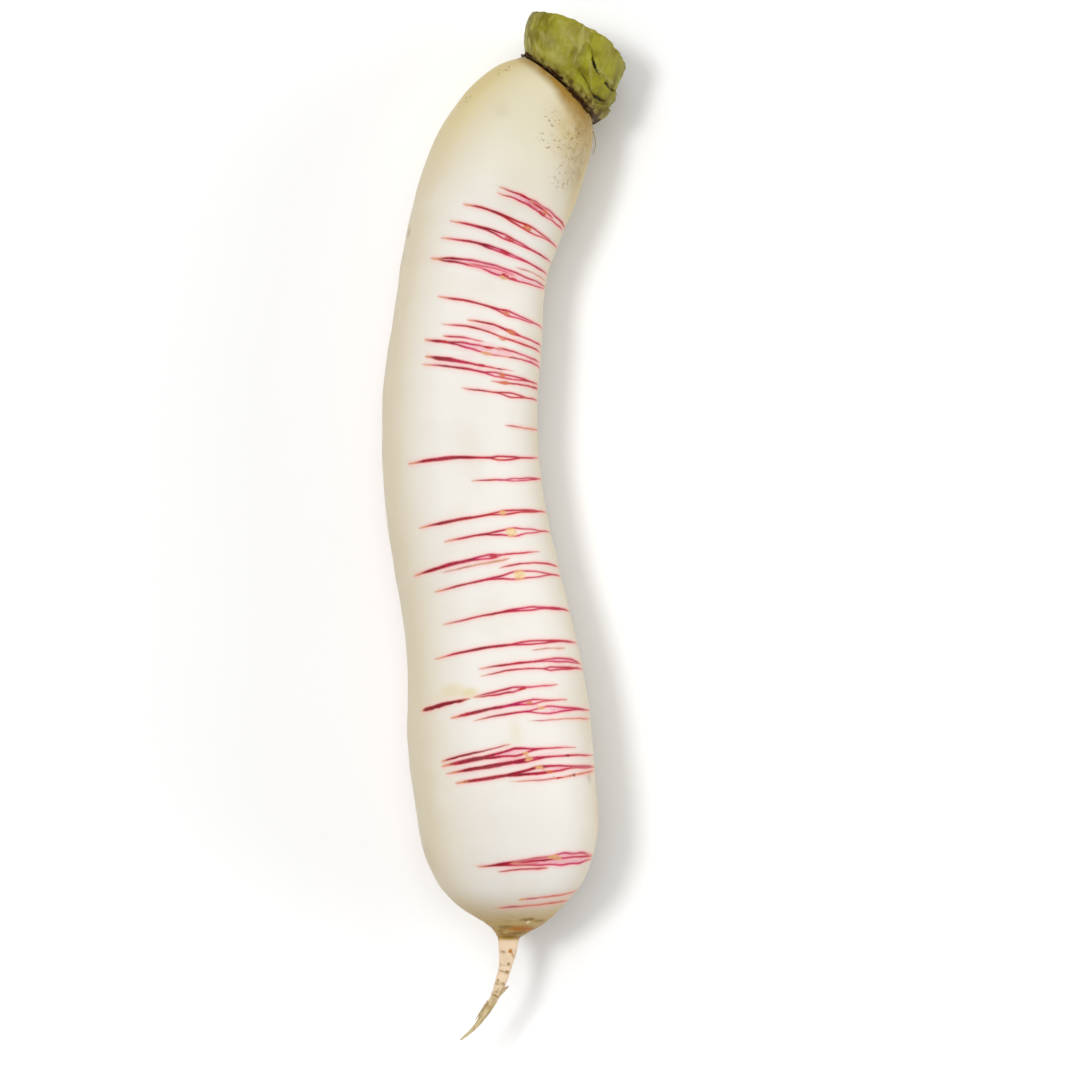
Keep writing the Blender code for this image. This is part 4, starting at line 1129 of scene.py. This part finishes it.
def dry_look(name):
    """Dead, fibrous scale, its fibres running round the crown."""
    g = Graph(name)
    (x, y, depth, _), _ = g.attribute("grain")
    fibre = g.noise(0.9, 3, 0.65, where=g.join(x * 0.00035, y * 0.001, depth * 0.001))
    patch = g.noise(3.0, 2)
    g.colour = g.mix(g.step(0.50, 0.68, fibre * 0.5 + patch * 0.5), DRY_DARK, DRY_TAN)
    g.bump(fibre, 0.0005, 0.8)
    return g.finish(0.65 + fibre * 0.2, Specular_IOR_Level=0.1)


def hair_look(name):
    """Two-toned, fibrous rootlets."""
    g = Graph(name)
    fibre = g.noise(1.0, 3, 0.65)
    g.colour = g.mix(g.step(0.3, 0.7, fibre), HAIR_DARK, HAIR_LIGHT)
    g.bump(fibre, 0.0004, 0.7)
    return g.finish(0.65 + fibre * 0.15)


def rootlet(name, strands, look):
    """One or more thin, tapered hairs of root."""
    verts, faces = [], []
    sides, steps = 10, 8
    for strand in strands:
        knots = np.array(strand)
        at = np.linspace(0, len(knots) - 1, steps * (len(knots) - 1) + 1)
        rows = np.stack([np.interp(at, range(len(knots)), knots[:, i]) for i in range(4)], -1)
        for _ in range(6):
            rows[1:-1] = (rows[:-2] + 2 * rows[1:-1] + rows[2:]) / 4
        first = len(verts)
        for i, row in enumerate(rows):
            way = Vector(rows[min(i + 1, len(rows) - 1)][:3] - rows[max(i - 1, 0)][:3]).normalized()
            across = way.cross(Vector((0, 0, 1))).normalized()
            over = across.cross(way)
            for j in range(sides):
                turn = 2 * pi * j / sides
                bumpy = row[3] * (1 + 0.12 * sin(3 * turn + 1.3 * i) + 0.10 * sin(2.1 * i))
                spot = Vector(row[:3]) + (across * cos(turn) + over * sin(turn)) * bumpy
                verts.append(spot * MM)
        faces += ring_quads(len(rows), sides, first)
        faces.append(tuple(first + j for j in reversed(range(sides))))
        faces.append(tuple(len(verts) - sides + j for j in range(sides)))
    made = new_mesh(name + "_skin", verts, faces, sharp=60)
    made.data.materials.append(look)
    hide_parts(name)
    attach(made, "root")


root_piece = build_root()
root_piece.data.materials.append(skin())
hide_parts("root")
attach(root_piece, "root")

green = stalk_look("stalk_green", GREEN, PALE_GREEN, DEEP_GREEN, 0.9)
heart = stalk_look("heart_green", HEART, HEART_PALE, GREEN, 0.4)
old = stalk_look("old_base_green", OLD_GREEN, OLD_PALE, OLD_DEEP, 1.0)
dry = dry_look("dry_scale_brown")
for table, columns, rings, look, slot in (
    (STALKS, 72, 56, green, "leaf_stalk"), (HEART_LEAVES, 32, 36, heart, "heart_leaf"),
    (OLD_BASES, 72, 36, old, "old_leaf_base"), (DRY_SCALES, 72, 12, dry, "dry_scale"),
):
    for key, sizes in table.items():
        stalk(key, sizes, columns, rings, look, slot)
hair = hair_look("rootlet_tan")
for key, strands in ROOTLETS.items():
    rootlet(key, strands, hair)

# ---- Floor, light and camera ----
FLOOR_SIDE = 60.0
FLOOR_GAP = 0.0003
FLOOR_WHITE = (0.885, 0.885, 0.885)
FLOOR_CLOUD = (0.865, 0.865, 0.865)
SKY_PALE, SKY_DARK = 0.16, 0.40  # pale up to this height, dark from that one
SKY_LEFT = 0.06  # strength of the dark part
# Name, lean towards +X and +Y and width in degrees, strength.
LAMPS = (
    ("key", -21, 9, 12, 1.15), ("key_soft", -18, 9, 60, 1.60),
    ("fill", 70, 0, 44, 1.28), ("top", 20, 35, 60, 0.45),
)
CAMERA_SPOT = (0.0128, -0.0049, 6.0)
FRAME_WIDTH = 0.378  # at the height of the radish's widest line
WIDEST = 0.028
SENSOR = 36.0

floor_mesh = bpy.data.meshes.new("floor")
side = FLOOR_SIDE / 2
corners = [(-side, -side, 0), (side, -side, 0), (side, side, 0), (-side, side, 0)]
floor_mesh.from_pydata(corners, [], [(0, 1, 2, 3)])
floor = bpy.data.objects.new("floor", floor_mesh)
bpy.context.scene.collection.objects.link(floor)
floor.location.z = -FLOOR_GAP
paint = Graph("floor_white")
paint.colour = paint.mix(paint.noise(300, 2) * 0.05, FLOOR_WHITE, FLOOR_CLOUD)
floor_mesh.materials.append(paint.finish(0.9, Specular_IOR_Level=0.0))

# Pale near the horizon and darker above it, so that most of the light comes from the lamps.
world = bpy.data.worlds.new("studio")
bpy.context.scene.world = world
world.use_nodes = True
sky = world.node_tree
back = sky.nodes["Background"]
way = sky.nodes.new("ShaderNodeTexCoord")
parts = sky.nodes.new("ShaderNodeSeparateXYZ")
fade = sky.nodes.new("ShaderNodeMapRange")
fade.inputs["From Min"].default_value = SKY_PALE
fade.inputs["From Max"].default_value = SKY_DARK
fade.inputs["To Min"].default_value = 1.0
fade.inputs["To Max"].default_value = SKY_LEFT
sky.links.new(way.outputs["Generated"], parts.inputs[0])
sky.links.new(parts.outputs["Z"], fade.inputs["Value"])
sky.links.new(fade.outputs[0], back.inputs["Strength"])
back.inputs["Color"].default_value = (1.0, 1.0, 1.0, 1.0)


def soft_sun(name, lean_x, lean_y, angle, strength):
    """A lamp that leans these degrees from straight above towards +X and +Y."""
    towards = Vector((tan(radians(lean_x)), tan(radians(lean_y)), 1.0))
    lamp = bpy.data.lights.new(name, "SUN")
    lamp.angle = radians(angle)
    lamp.energy = strength
    made = bpy.data.objects.new(name, lamp)
    made.location = towards.normalized() * 2
    made.rotation_euler = towards.to_track_quat("Z", "Y").to_euler()
    bpy.context.scene.collection.objects.link(made)


for lamp in LAMPS:
    soft_sun(*lamp)

camera = bpy.data.cameras.new("camera")
camera.sensor_width = SENSOR
camera.lens = SENSOR * (CAMERA_SPOT[2] - WIDEST) / FRAME_WIDTH
camera.clip_end = 200.0
eye = bpy.data.objects.new("camera", camera)
eye.location = CAMERA_SPOT
eye.rotation_euler = (0.0, 0.0, 0.0)
bpy.context.scene.collection.objects.link(eye)
bpy.context.scene.camera = eye
bpy.context.scene.view_settings.view_transform = "Standard"
